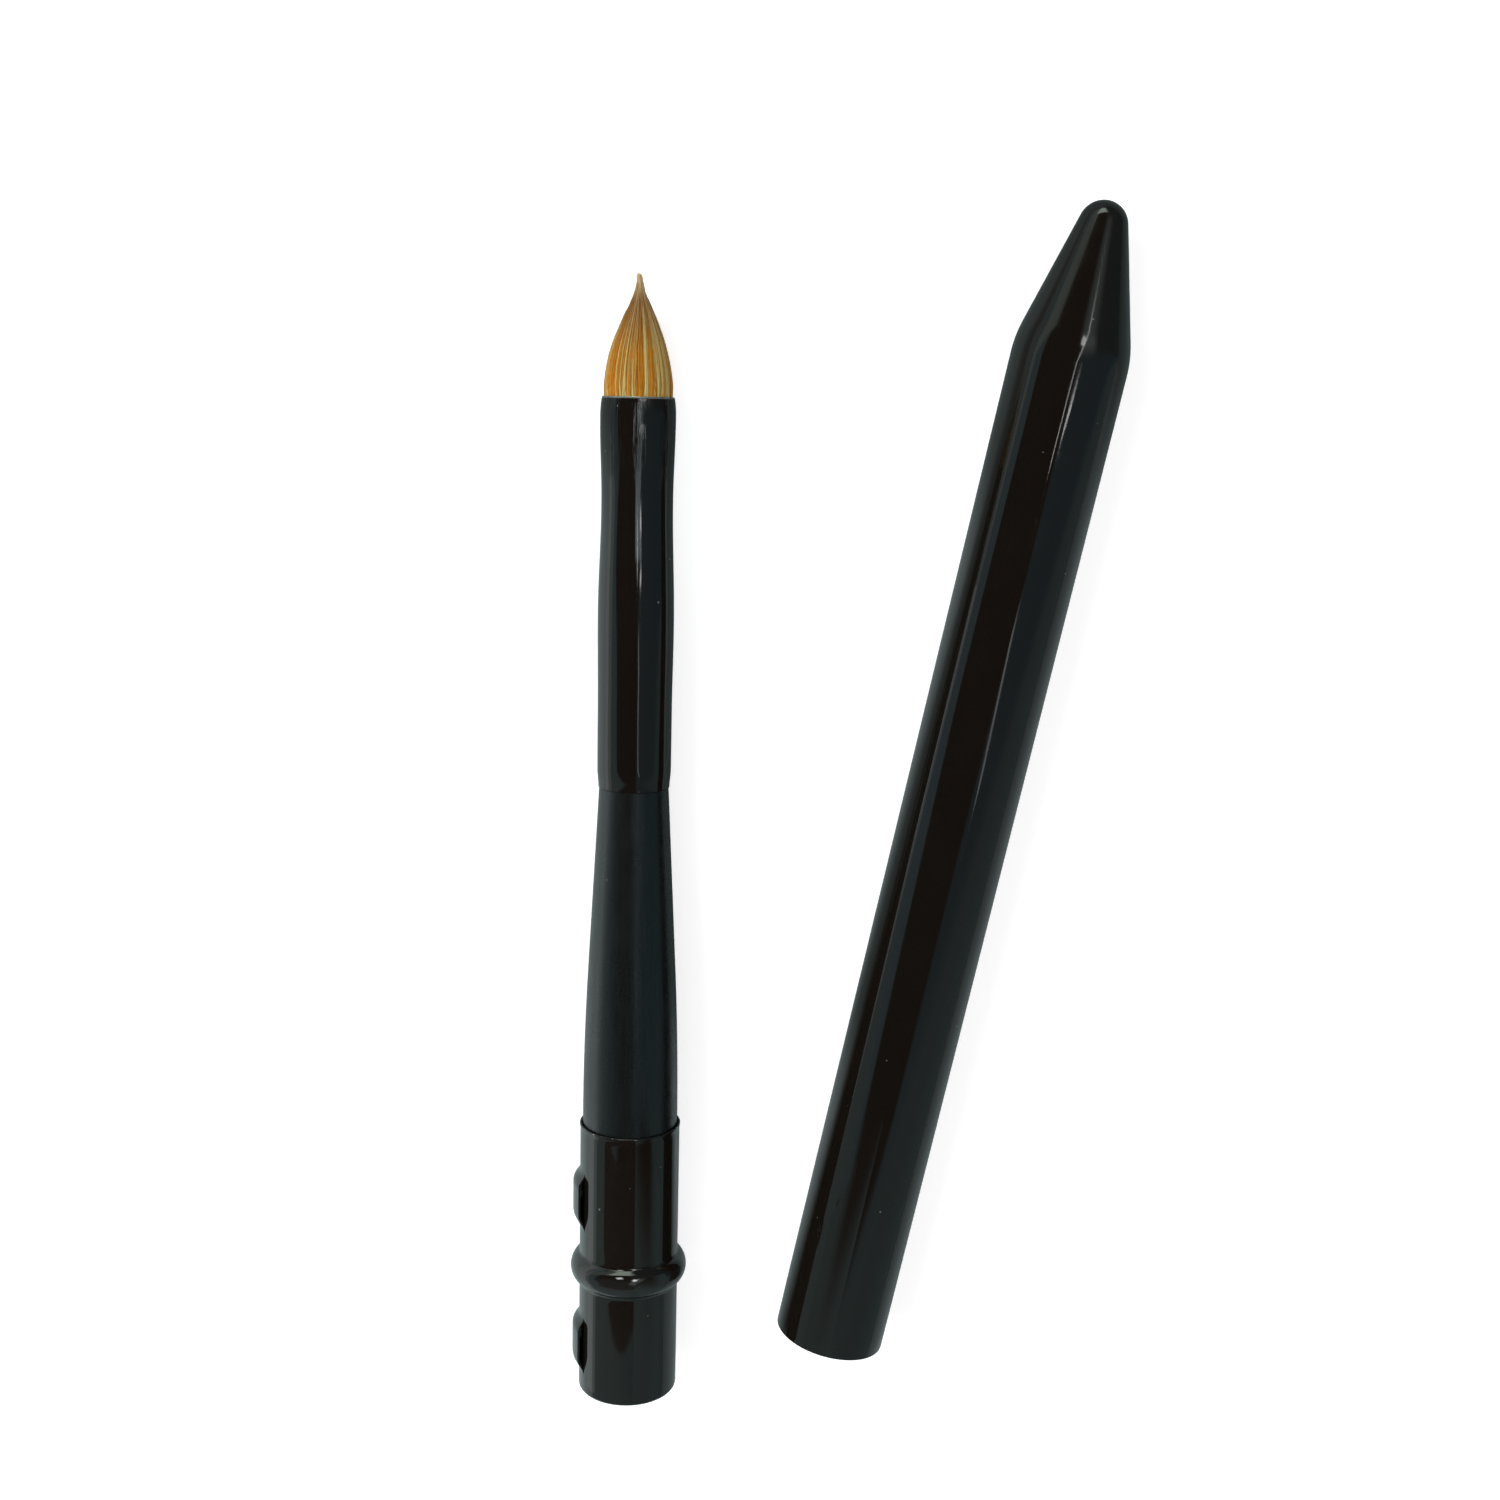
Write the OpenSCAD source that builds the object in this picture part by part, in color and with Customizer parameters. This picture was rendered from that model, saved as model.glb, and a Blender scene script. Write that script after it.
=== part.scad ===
// Pocket calligraphy brush with a tube cap, lying on a table with the cap pulled off beside it.
// The brush lies along +Y with its tuft forward, the cap beside it on the +X side, and +Z is up.
// The origin is on the table, in the middle of the footprint.

/* [Cap] */
// Outside diameter of the cap's tube
cap_d = 10; // [9:0.1:12]
// Wall of the drawn cap
cap_wall = 0.4; // [0.3:0.05:0.6]
// Length from the mouth to the end of the nose
cap_len = 104.9; // [103:0.1:130]
// Length of the tapered nose, from its knuckle to its end
nose_len = 12.3; // [10:0.1:14]
// Radius of the rounded end of the nose
nose_tip_r = 2.1; // [1.5:0.1:2.5]
// Radius that rounds the knuckle between the tube and the nose
knuckle_r = 10; // [4:0.5:14]

/* [Collar] */
// Radial play of the collar in the cap's bore
cap_play = 0.1; // [0.08:0.01:0.25]
// Wall of the collar's tube and of its closed end
collar_wall = 0.2; // [0.15:0.05:0.3]
// Length of the collar, from its closed end to its rim
collar_len = 25.8; // [24:0.1:32]
// Outside radius at the corner of the closed end
end_corner_r = 0.4; // [0.4:0.1:1.2]
// How far the rim flares out
rim_flare = 0.06; // [0:0.01:0.1]
// Length of the flare
rim_len = 0.5; // [0.3:0.1:1]
// Distance from the closed end to the middle of the stop bead
bead_at = 12; // [11.5:0.1:13]
// Length of the bead's crown along the axis
bead_len = 2.8; // [2.4:0.1:3.2]
// How far the bead stands proud of the cap that stops against it
bead_proud = 0.3; // [0.1:0.05:0.5]
// Radius that fills the corner on each side of the bead
bead_fillet = 0.4; // [0.2:0.05:0.5]

/* [Spring bridges] */
// Length of a bridge along the axis
bridge_len = 5.7; // [5:0.1:6]
// Half of the angle that a bridge spans
bridge_half_angle = 30; // [15:1:34]
// Angle that the bridges are turned down from the left side
bridge_turn = 4; // [0:1:15]
// Height that a bridge is bowed out of the wall
bridge_h = 0.62; // [0.4:0.01:0.8]
// How much thinner a bridge is than the wall that it is stretched from
bridge_thin = 0.04; // [0.02:0.01:0.06]
// Width of the slit on each side of a bridge
bridge_slit = 0.08; // [0.05:0.01:0.15]
// Length of a bridge's root in the wall at each end
bridge_root = 0.3; // [0.2:0.1:0.4]
// Length of the ramp at a bridge's front end
bridge_lead = 1.2; // [0.8:0.1:2]
// Length of the ramp at a bridge's rear end
bridge_back = 1.8; // [1.2:0.1:2.5]
// Distance from the middle of the bead to the front bridge
front_bridge_gap = 3.8; // [2.8:0.1:4.5]
// Distance from the middle of the bead to the rear bridge
rear_bridge_gap = 4.5; // [2.8:0.1:4.6]

/* [Handle] */
// Length of handle that shows between the collar and the ferrule
handle_len = 31.1; // [28:0.1:45]
// Diameter of the handle at the ferrule
handle_front_d = 6.1; // [5.8:0.05:6.2]
// Radius that eases the taper into the parallel rear
swell_r = 280; // [100:10:320]
// Length of the tenon in the ferrule
tenon_len = 13; // [8:0.5:14]
// Chamfer on the end of the tenon
tenon_chamfer = 0.4; // [0.2:0.1:0.8]

/* [Ferrule] */
// Length of the ferrule
ferrule_len = 33.7; // [33:0.1:40]
// Wall of the ferrule
ferrule_wall = 0.3; // [0.2:0.05:0.35]
// Outside diameter of the rear end, where it is swaged onto the tenon
swage_d = 6.25; // [6.2:0.05:6.4]
// Length of the swaged end
swage_len = 1.6; // [1:0.1:3]
// Outside diameter of the plain tube
ferrule_d = 6.46; // [6.4:0.01:6.6]
// Length of plain tube, up to where the belly starts
plain_len = 7; // [4:0.5:9]
// Outside diameter of the belly
belly_d = 6.6; // [6.5:0.01:6.9]
// Distance from the rear end to the belly
belly_at = 14.7; // [12:0.1:16]
// Outside diameter of the waist that grips the hair
waist_d = 6.15; // [6:0.01:6.3]
// Distance from the front end back to the waist
waist_back = 8.7; // [7:0.1:9.2]
// Outside diameter just behind the lip
mouth_d = 6.44; // [6.3:0.01:6.6]
// Length of the rounded lip
lip_len = 1.8; // [1:0.1:2.5]
// How far the lip rounds in
lip_drop = 0.2; // [0.1:0.01:0.25]

/* [Crimps] */
// Length of a crimp, from the rear end of the ferrule
crimp_len = 3; // [2:0.1:5]
// Depth of a crimp
crimp_depth = 0.1; // [0.05:0.01:0.15]
// Radius of the tool that presses a crimp
crimp_r = 0.9; // [0.5:0.1:1.5]
// Angle of the first crimp round the axis, from the right
crimp_angle = -25; // [-60:1:60]

/* [Tuft] */
// Length of hair that shows
tuft_len = 10.1; // [8:0.1:14]
// Fullness of the tuft: a smaller power keeps its width closer to the tip
tuft_power = 1.15; // [0.8:0.05:1.6]
// How far the full width is carried forward before the tuft tapers
tuft_swell = 1.1; // [1:0.05:1.3]
// How much the outline hollows towards the tip
tuft_hollow = 0.3; // [0:0.05:0.5]
// Diameter of the tip
tuft_tip_d = 0.12; // [0.1:0.02:0.3]
// Length of hair root in the ferrule
root_len = 14; // [12.5:0.1:15]
// Diameter of the root under its thread
root_d = 4.8; // [4.4:0.1:4.9]
// Diameter of the thread that ties the root
thread_d = 0.3; // [0.2:0.05:0.32]
// Number of turns of thread
thread_turns = 7; // [3:1:9]
// Distance from the end of the root to the thread
thread_at = 0.8; // [0.5:0.1:1.2]
// Length of the resin that sets the root
resin_len = 3; // [2:0.1:4]

/* [Layout] */
// Sideways distance from the brush's butt to the cap's mouth
cap_beside = 18.9; // [14:0.1:40]
// Forward distance from the brush's butt to the cap's mouth
cap_ahead = 4.6; // [2:0.1:20]
// Angle that the cap is turned away from the brush
cap_turn = 11; // [0:0.5:14]

/* [Hidden] */
// Thickness of a film of glue between two pieces
glue = 0.02;
// Steps along an arc or a blend
arc_steps = 14;
blend_steps = 10;
// Overshoot of a cutting tool
over = 1;
$fn = 96;

// Sizes that follow from the fits
cap_r = cap_d / 2;
bore_r = cap_r - cap_wall;
collar_r = bore_r - cap_play;
collar_bore_r = collar_r - collar_wall;
bead_top_r = cap_r + bead_proud;
handle_rear_r = collar_bore_r - glue;
handle_front_r = handle_front_d / 2;
tenon_r = swage_d / 2 - ferrule_wall - glue;
root_r = root_d / 2;
tuft_root_r = mouth_d / 2 - ferrule_wall - glue;

// Stations along the brush, measured from its butt
ferrule_at = collar_len + handle_len;
mouth_at = ferrule_len - lip_len;
waist_at = ferrule_len - waist_back;
tuft_at = ferrule_at + ferrule_len;
root_at = tuft_at - root_len;

// Cone of the nose, tangent to its rounded end, and the circle that rounds the knuckle
nose_axis = nose_len - nose_tip_r;
nose_angle = atan2(cap_r, nose_axis) - asin(nose_tip_r / norm([cap_r, nose_axis]));
knuckle_at = cap_len - nose_len - knuckle_r * tan(nose_angle / 2);

// Circle of the bead's crown, and of the fillets beside it
bead_h = bead_top_r - collar_r;
bead_r = (pow(bead_len / 2, 2) + pow(bead_h, 2)) / (2 * bead_h);
bead_centre_r = bead_top_r - bead_r;
fillet_rise = collar_r + bead_fillet - bead_centre_r;
fillet_off = sqrt(pow(bead_r + bead_fillet, 2) - pow(fillet_rise, 2));
bead_angle = atan2(fillet_off, fillet_rise);

// Angle of the slit beside a bridge
slit_angle = atan(bridge_slit / collar_r);

// Taper of the handle, and the circle that eases it into the parallel rear within the handle's length
taper_drop = handle_rear_r - handle_front_r;
longest_ease_r = (pow(handle_len, 2) + pow(taper_drop, 2)) / (2 * taper_drop);
ease_r = min(swell_r, 0.95 * longest_ease_r);
taper_run = sqrt(pow(handle_len, 2) - 2 * ease_r * taper_drop + pow(taper_drop, 2));
taper_angle = 2 * atan((handle_len - taper_run) / (2 * ease_r - taper_drop));

// The brush rests on its bead and on the mouth of its ferrule, so its nose dips by this angle
rest_span = ferrule_at + mouth_at - bead_at;
rest_drop = bead_centre_r - mouth_d / 2;
nose_down = atan2(rest_drop, rest_span) + asin(bead_r / norm([rest_span, rest_drop]));
butt_z = bead_at * sin(nose_down) + bead_centre_r * cos(nose_down) + bead_r;

// The footprint of both pieces, measured from the brush's butt
left_x = -bead_top_r;
right_x = cap_beside + knuckle_at * sin(cap_turn) + (cap_r - knuckle_r) * cos(cap_turn) + knuckle_r;
near_y = end_corner_r * (cos(nose_down) - 1) - (collar_r - end_corner_r) * sin(nose_down);
far_y = cap_ahead + (cap_len - nose_tip_r) * cos(cap_turn) + nose_tip_r;
butt_x = -(left_x + right_x) / 2;
butt_y = -(near_y + far_y) / 2;

// Points on an arc, as [radius, station] from one angle to another, without the first where one is there
function arc(centre, r, from, to, first = 0) =
    [for (i = [first : arc_steps])
        let (a = from + (to - from) * i / arc_steps)
        centre + r * [cos(a), sin(a)]];

// The same points in the other order
function reversed(points) = [for (i = [len(points) - 1 : -1 : 0]) points[i]];

// A smooth step from 0 to 1
function ease(t) = (1 - cos(180 * min(1, max(0, t)))) / 2;

// Surface of the cap at a depth below its outside
function cap_line(depth) = concat(
    [[cap_r - depth, 0]],
    arc([cap_r - knuckle_r, knuckle_at], knuckle_r - depth, 0, nose_angle),
    arc([0, cap_len - nose_tip_r], nose_tip_r - depth, nose_angle, 90));

// Surface of the collar at a depth below its outside, from the closed end to the rim
function collar_line(depth) = concat(
    [[0, depth]],
    arc([collar_r - end_corner_r, end_corner_r], end_corner_r - depth, -90, 0),
    arc([collar_r + bead_fillet, bead_at - fillet_off], bead_fillet + depth, 180, 180 - bead_angle),
    arc([bead_centre_r, bead_at], bead_r - depth, -bead_angle, bead_angle, 1),
    arc([collar_r + bead_fillet, bead_at + fillet_off], bead_fillet + depth, 180 + bead_angle, 180, 1),
    [[collar_r - depth, collar_len - rim_len], [collar_r + rim_flare - depth, collar_len]]);

// Rise of a bridge at a distance from its rear end
function bridge_rise(t) = bridge_h * min(ease(t / bridge_back), ease((bridge_len - t) / bridge_lead));

// Distances along a bridge at which its line has a point
bridge_steps = concat(
    [-bridge_root],
    steps(0, bridge_back),
    steps(bridge_len - bridge_lead, bridge_len),
    [bridge_len + bridge_root]);

// Outside radius of the ferrule at a distance from its rear end
function ferrule_r(s) =
    (s < swage_len ? swage_d + (ferrule_d - swage_d) * ease(s / swage_len)
    : s < belly_at ? ferrule_d + (belly_d - ferrule_d) * ease((s - plain_len) / (belly_at - plain_len))
    : s < waist_at ? belly_d + (waist_d - belly_d) * ease((s - belly_at) / (waist_at - belly_at))
    : waist_d + (mouth_d - waist_d) * ease((s - waist_at) / (mouth_at - waist_at))) / 2;

// Even steps from one distance to another, without the first where one is there
function steps(from, to, first = 0) = [for (i = [first : blend_steps]) from + (to - from) * i / blend_steps];

// Distances along the ferrule at which its line has a point
ferrule_steps = concat(
    steps(0, swage_len),
    steps(plain_len, belly_at),
    steps(belly_at, waist_at, 1),
    steps(waist_at, mouth_at, 1));

// Line of the ferrule's inside between two distances from its rear end, at a clearance from the wall
function ferrule_bore(from, to, clear) =
    [for (s = steps(from, to)) [ferrule_r(s) - ferrule_wall - clear, s]];

// Radius of the tuft at a share of its length
function tuft_r(t) =
    max(tuft_tip_d / 2, tuft_root_r * pow(cos(90 * pow(t, tuft_swell)), tuft_power + tuft_hollow * t * t));

// Puts a piece that is drawn upright from the butt where the brush lies
module lay_brush() {
    translate([butt_x, butt_y, butt_z])
        rotate([-90 - nose_down, 0, 0])
            children();
}

// Puts a piece that is drawn upright from the cap's mouth where the cap lies
module lay_cap() {
    translate([butt_x + cap_beside, butt_y + cap_ahead, cap_r])
        rotate([0, 0, -cap_turn])
            rotate([-90, 0, 0])
                children();
}

// A sector of a turned ring, centred on the side where the bridges are
module bridge_sector(half_angle) {
    rotate([0, 0, 180 - bridge_turn - half_angle])
        rotate_extrude(angle = 2 * half_angle)
            children();
}

// Strip of the wall that is bowed out, and the window that it leaves
module bridge_strip() {
    outside = [for (t = bridge_steps) [collar_r - bridge_thin / 2 + bridge_rise(t), t]];
    inside = [for (t = bridge_steps) [collar_bore_r + bridge_thin / 2 + bridge_rise(t), t]];
    bridge_sector(bridge_half_angle)
        polygon(concat(outside, reversed(inside)));
}

module bridge_window() {
    bridge_sector(bridge_half_angle + slit_angle)
        translate([collar_bore_r - over, 0])
            square([collar_wall + 2 * over, bridge_len]);
}

// One copy of what it is given ahead of the bead and one behind it
module both_bridges() {
    for (start = [bead_at + front_bridge_gap, bead_at - rear_bridge_gap - bridge_len])
        translate([0, 0, start])
            children();
}

// Round-ended groove that a crimping tool presses into the rear end of the ferrule
module crimp() {
    translate([ferrule_d / 2 + crimp_r - crimp_depth, 0, 0])
        rotate_extrude()
            polygon(concat([[0, -over], [crimp_r, -over]], arc([0, crimp_len - crimp_r], crimp_r, 0, 90)));
}

// Bundle of sable hair: its root in the ferrule, its belly and its point
module hair_tuft() {
    thread_end = thread_at + thread_turns * thread_d;
    root = [[0, 0], [root_r, 0], [root_r, thread_end + thread_d]];
    gripped = [for (p = ferrule_bore(waist_at, mouth_at, glue)) [p.x, p.y + root_len - ferrule_len]];
    shown = [for (i = [0 : 2 * arc_steps])
        let (t = i / (2 * arc_steps))
        [tuft_r(t), root_len + tuft_len * t]];
    color("#a9784f")
        lay_brush()
            translate([0, 0, root_at])
                rotate_extrude()
                    polygon(concat(root, gripped, shown, [[0, root_len + tuft_len]]));
}

// Thread wound in close turns round the root of the hair
module root_thread() {
    color("#d9d0ba")
        lay_brush()
            translate([0, 0, root_at + thread_at])
                rotate_extrude()
                    difference() {
                        union() {
                            for (i = [0 : thread_turns - 1])
                                translate([root_r + thread_d / 2, (i + 0.5) * thread_d])
                                    circle(d = thread_d, $fn = 24);
                            translate([root_r, thread_d / 2])
                                square([thread_d / 2, (thread_turns - 1) * thread_d]);
                        }
                        translate([root_r - over, -over])
                            square([over, thread_turns * thread_d + 2 * over]);
                    }
}

// Cast plug that sets the root of the hair in the ferrule
module root_resin() {
    start = ferrule_len - root_len - resin_len;
    wall_line = ferrule_bore(start, start + resin_len, glue);
    color("#b58a3c")
        lay_brush()
            translate([0, 0, ferrule_at])
                rotate_extrude()
                    polygon(concat([[0, start]], wall_line, [[0, start + resin_len]]));
}

// Spun metal tube with a belly, a waist and a rounded lip, crimped to the tenon
module ferrule() {
    outside = [for (s = ferrule_steps) [ferrule_r(s), s]];
    lip = [for (a = [1 : arc_steps]) let (turn = 90 * a / arc_steps)
        [mouth_d / 2 - lip_drop * (1 - cos(turn)), mouth_at + lip_len * sin(turn)]];
    inside = [for (s = ferrule_steps) [ferrule_r(s) - ferrule_wall, s]];
    mouth = [[mouth_d / 2 - ferrule_wall, ferrule_len]];
    color("#15171a")
        lay_brush()
            translate([0, 0, ferrule_at])
                difference() {
                    rotate_extrude()
                        polygon(concat(outside, lip, mouth, reversed(inside)));
                    for (turn = [0, 180])
                        rotate([0, 0, crimp_angle + turn])
                            crimp();
                }
}

// Turned handle: a spigot that fills the collar, an eased taper and a tenon
module handle() {
    spigot = [
        [0, collar_wall],
        [handle_rear_r - end_corner_r, collar_wall],
        [handle_rear_r, collar_wall + end_corner_r]];
    eased = arc([handle_rear_r - ease_r, collar_len], ease_r, 0, taper_angle);
    tenon_end = ferrule_at + tenon_len;
    tenon = [
        [handle_front_r, ferrule_at],
        [tenon_r, ferrule_at],
        [tenon_r, tenon_end - tenon_chamfer],
        [tenon_r - tenon_chamfer, tenon_end],
        [0, tenon_end]];
    color("#1d2023")
        lay_brush()
            rotate_extrude()
                polygon(concat(spigot, eased, tenon));
}

// Drawn cup with a rolled bead that stops the cap and two bridges that grip it
module collar() {
    color("#15171a")
        lay_brush()
            union() {
                difference() {
                    rotate_extrude()
                        polygon(concat(collar_line(0), reversed(collar_line(collar_wall))));
                    both_bridges()
                        bridge_window();
                }
                both_bridges()
                    bridge_strip();
            }
}

// Drawn tube with a tapered, rounded nose
module cap() {
    color("#15171a")
        lay_cap()
            rotate_extrude()
                polygon(concat(cap_line(0), reversed(cap_line(cap_wall))));
}

hair_tuft();
root_thread();
root_resin();
ferrule();
handle();
collar();
cap();
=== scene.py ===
"""Looks of a pocket calligraphy brush that lies beside its cap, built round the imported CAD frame."""

import logging
import math
from dataclasses import dataclass, field
from enum import Enum
from typing import Callable, Sequence

import bmesh
import bpy
import numpy as np
from mathutils import Matrix, Vector


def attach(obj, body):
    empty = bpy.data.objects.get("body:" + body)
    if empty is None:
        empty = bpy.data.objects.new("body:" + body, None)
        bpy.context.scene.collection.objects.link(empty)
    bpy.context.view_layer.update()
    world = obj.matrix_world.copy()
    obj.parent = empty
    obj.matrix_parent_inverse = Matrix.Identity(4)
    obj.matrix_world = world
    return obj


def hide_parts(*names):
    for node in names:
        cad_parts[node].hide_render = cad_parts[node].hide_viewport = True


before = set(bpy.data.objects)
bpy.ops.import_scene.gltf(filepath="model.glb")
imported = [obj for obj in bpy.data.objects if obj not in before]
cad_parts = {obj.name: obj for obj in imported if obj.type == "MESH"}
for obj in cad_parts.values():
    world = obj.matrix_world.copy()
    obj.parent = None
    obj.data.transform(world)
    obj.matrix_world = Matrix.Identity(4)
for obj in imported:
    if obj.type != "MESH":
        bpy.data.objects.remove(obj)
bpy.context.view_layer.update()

log = logging.getLogger("brush")

MM = 0.001
TINY = 1e-6
NOWHERE = 1e4
BAKE_MAP = "OFBake"
IMAGE_SIDE = 1500
SENSOR_MM = 36.0
SMOOTH_ANGLE = math.radians(38)
BRUSH_DIP = math.radians(1.55183)
CAP_TURN = math.radians(11)

Point = tuple[float, float]
Triple = tuple[float, float, float]
Colour = tuple[float, float, float, float]
Reshape = Callable[[np.ndarray, np.ndarray, np.ndarray], np.ndarray]
Object = bpy.types.Object
Material = bpy.types.Material
Tree = bpy.types.NodeTree
Node = bpy.types.Node
Socket = bpy.types.NodeSocket
Input = Socket | float | Sequence[float]

BLACK: Colour = (0.002, 0.002, 0.002, 1)


class Body(Enum):
    """CAD bodies that a piece can ride on."""

    BRUSH = "brush"
    CAP = "cap"


class Bridge(Enum):
    """Spring bridges of the collar, by the side of the bead on which they lie."""

    FRONT = 1
    REAR = -1


def srgb(red: int, green: int, blue: int) -> Colour:
    """Turns a screen colour into the linear colour that a shader reads.

    Args:
        red: Red from 0 to 255.
        green: Green from 0 to 255.
        blue: Blue from 0 to 255.

    Returns:
        Linear red, green, blue and an alpha of 1.
    """

    def linear(value: int) -> float:
        """Gives one channel's linear value."""
        share = value / 255
        return share / 12.92 if share <= 0.04045 else ((share + 0.055) / 1.055) ** 2.4

    return linear(red), linear(green), linear(blue), 1.0


@dataclass(frozen=True)
class Placement:
    """Where a turned piece lies in the frame, with its axis from its rear end forward."""

    origin: Vector
    across: Vector
    down: Vector
    along: Vector

    def at(self, radius: np.ndarray, angle: np.ndarray, station: np.ndarray) -> np.ndarray:
        """Places points given round the axis.

        Args:
            radius: Distances from the axis in millimetres.
            angle: Angles from the across direction in radians.
            station: Distances along the axis in millimetres.

        Returns:
            Points in metres in the frame, with one more axis than the inputs.
        """
        radius, angle, station = np.broadcast_arrays(radius, angle, station)
        local = np.stack([radius * np.cos(angle), radius * np.sin(angle), station], axis=-1)
        turn = np.array([self.across, self.down, self.along])
        return (local @ turn + np.array(self.origin)) * MM


# The brush lies on its bead and on its ferrule's front, so it dips towards its tuft.
BRUSH_PLACE = Placement(
    origin=Vector((-18.0509, -53.75, 5.62363)),
    across=Vector((1, 0, 0)),
    down=Vector((0, -math.sin(BRUSH_DIP), -math.cos(BRUSH_DIP))),
    along=Vector((0, math.cos(BRUSH_DIP), -math.sin(BRUSH_DIP))),
)
# The cap lies flat beside the brush and is turned away from it.
CAP_PLACE = Placement(
    origin=Vector((0.849117, -49.15, 5.0)),
    across=Vector((math.cos(CAP_TURN), -math.sin(CAP_TURN), 0)),
    down=Vector((0, 0, -1)),
    along=Vector((math.sin(CAP_TURN), math.cos(CAP_TURN), 0)),
)


def arc(centre: Point, radius: float, start: float, end: float, count: int) -> list[Point]:
    """Gives points on an arc.

    Args:
        centre: Middle of the arc as radius and station.
        radius: Radius of the arc.
        start: First angle in degrees, counted from the radius towards the station.
        end: Last angle in degrees.
        count: Number of steps between them.

    Returns:
        The points, both ends included.
    """
    turns = [math.radians(start + (end - start) * i / count) for i in range(count + 1)]
    return [(centre[0] + radius * math.cos(a), centre[1] + radius * math.sin(a)) for a in turns]


def spaced(points: Sequence[Point], step: float) -> list[Point]:
    """Splits the long runs of a line and drops points that lie on each other.

    Args:
        points: Line as radius and station.
        step: Longest run that stays whole.

    Returns:
        The line with more points.
    """
    line = [points[0]]
    for point in points[1:]:
        before = line[-1]
        length = math.dist(before, point)
        if length < TINY:
            continue
        parts = max(1, math.ceil(length / step))
        for i in range(1, parts + 1):
            line.append(tuple(before[k] + (point[k] - before[k]) * i / parts for k in (0, 1)))
    return line


def marks_along(line: Sequence[Point]) -> np.ndarray:
    """Gives how far along a line each of its points lies, from 0 to 1."""
    lengths = [math.dist(a, b) for a, b in zip(line, line[1:])]
    return np.concatenate([[0], np.cumsum(lengths)]) / sum(lengths)


def ease(share: float) -> float:
    """Gives a smooth step from 0 to 1."""
    return (1 - math.cos(math.pi * min(1.0, max(0.0, share)))) / 2


@dataclass
class Shape:
    """Vertices, faces, face materials and map places of a mesh in the making."""

    vertices: list[Sequence[float]] = field(default_factory=list)
    faces: list[tuple[int, ...]] = field(default_factory=list)
    slots: list[int] = field(default_factory=list)
    places: list[tuple[Point, ...]] = field(default_factory=list)

    def ring(self, place: Placement, radius: Input, angles: np.ndarray, station: float) -> list[int]:
        """Adds a ring of vertices, or a pole where the radius is 0.

        Args:
            place: Where the axis lies.
            radius: One radius, or one for each angle, in millimetres.
            angles: Angles of the vertices.
            station: Distance along the axis in millimetres.

        Returns:
            Number of the vertex at each angle.
        """
        first = len(self.vertices)
        if np.max(radius) < TINY:
            self.vertices.append(place.at(0.0, 0.0, station))
            return [first] * len(angles)
        self.vertices.extend(place.at(radius, angles, station))
        return list(range(first, first + len(angles)))

    def face(self, corners: Sequence[int], places: Sequence[Point], slot: int = 0) -> None:
        """Adds a face.

        Args:
            corners: Its vertices.
            places: Their places on the map.
            slot: Number of the material.
        """
        self.faces.append(tuple(corners))
        self.places.append(tuple(places))
        self.slots.append(slot)

    def quad(
        self, corners: Sequence[int], wide: Sequence[float], high: Sequence[float], slot: int = 0
    ) -> None:
        """Adds a face over a box of the map, and drops a corner that lies on the one before it.

        Args:
            corners: Four vertices.
            wide: Left and right side of the box.
            high: Lower and upper side of the box.
            slot: Number of the material.
        """
        places = [(wide[0], high[0]), (wide[1], high[0]), (wide[1], high[1]), (wide[0], high[1])]
        kept = [c for c in range(4) if corners[c] != corners[c - 1]]
        self.face([corners[c] for c in kept], [places[c] for c in kept], slot)

    def piece(self, name: str, finishes: Sequence[Material]) -> Object:
        """Makes an object of the shape.

        Args:
            name: Name of the object and of its mesh.
            finishes: Materials by number.

        Returns:
            The new object, smooth where it bends gently.
        """
        mesh = bpy.data.meshes.new(name)
        mesh.from_pydata([tuple(v) for v in self.vertices], [], self.faces)
        layer = mesh.uv_layers.new(name=BAKE_MAP)
        flat = np.array([c for corners in self.places for c in corners], np.float32)
        layer.uv.foreach_set("vector", flat.ravel())
        for finish in finishes:
            mesh.materials.append(finish)
        mesh.polygons.foreach_set("material_index", self.slots)
        work = bmesh.new()
        work.from_mesh(mesh)
        bmesh.ops.recalc_face_normals(work, faces=work.faces)
        work.to_mesh(mesh)
        work.free()
        mesh.polygons.foreach_set("use_smooth", [True] * len(mesh.polygons))
        mesh.set_sharp_from_angle(angle=SMOOTH_ANGLE)
        mesh.update()
        made = bpy.data.objects.new(name, mesh)
        bpy.context.scene.collection.objects.link(made)
        return made


def turned(
    line: Sequence[Point],
    place: Placement,
    segments: int,
    slots: Sequence[int] | None = None,
    closed: bool = False,
    reshape: Reshape | None = None,
) -> Shape:
    """Turns a line round an axis.

    Args:
        line: Radius and station in millimetres. A radius of 0 is a pole.
        place: Where the axis lies.
        segments: Steps round the axis.
        slots: Material number of each run of the line, or None for 0 all over.
        closed: Whether the last point joins the first.
        reshape: Gives a new radius from the radius, angle and station, or None.

    Returns:
        The turned shape.
    """
    shape = Shape()
    angles = np.linspace(0, 2 * math.pi, segments, endpoint=False)
    rings: list[list[int]] = []
    for radius, station in line:
        radii = np.full(segments, radius)
        if reshape:
            radii = reshape(radii, angles, np.full(segments, station))
        rings.append(shape.ring(place, radii, angles, station))
    marks = marks_along([*line, line[0]] if closed else line)
    for i in range(len(marks) - 1):
        low, high = rings[i], rings[(i + 1) % len(line)]
        for j in range(segments):
            k = (j + 1) % segments
            wide = (j / segments, (j + 1) / segments)
            corners = [low[j], low[k], high[k], high[j]]
            shape.quad(corners, wide, marks[i : i + 2], slots[i] if slots else 0)
    return shape


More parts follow.
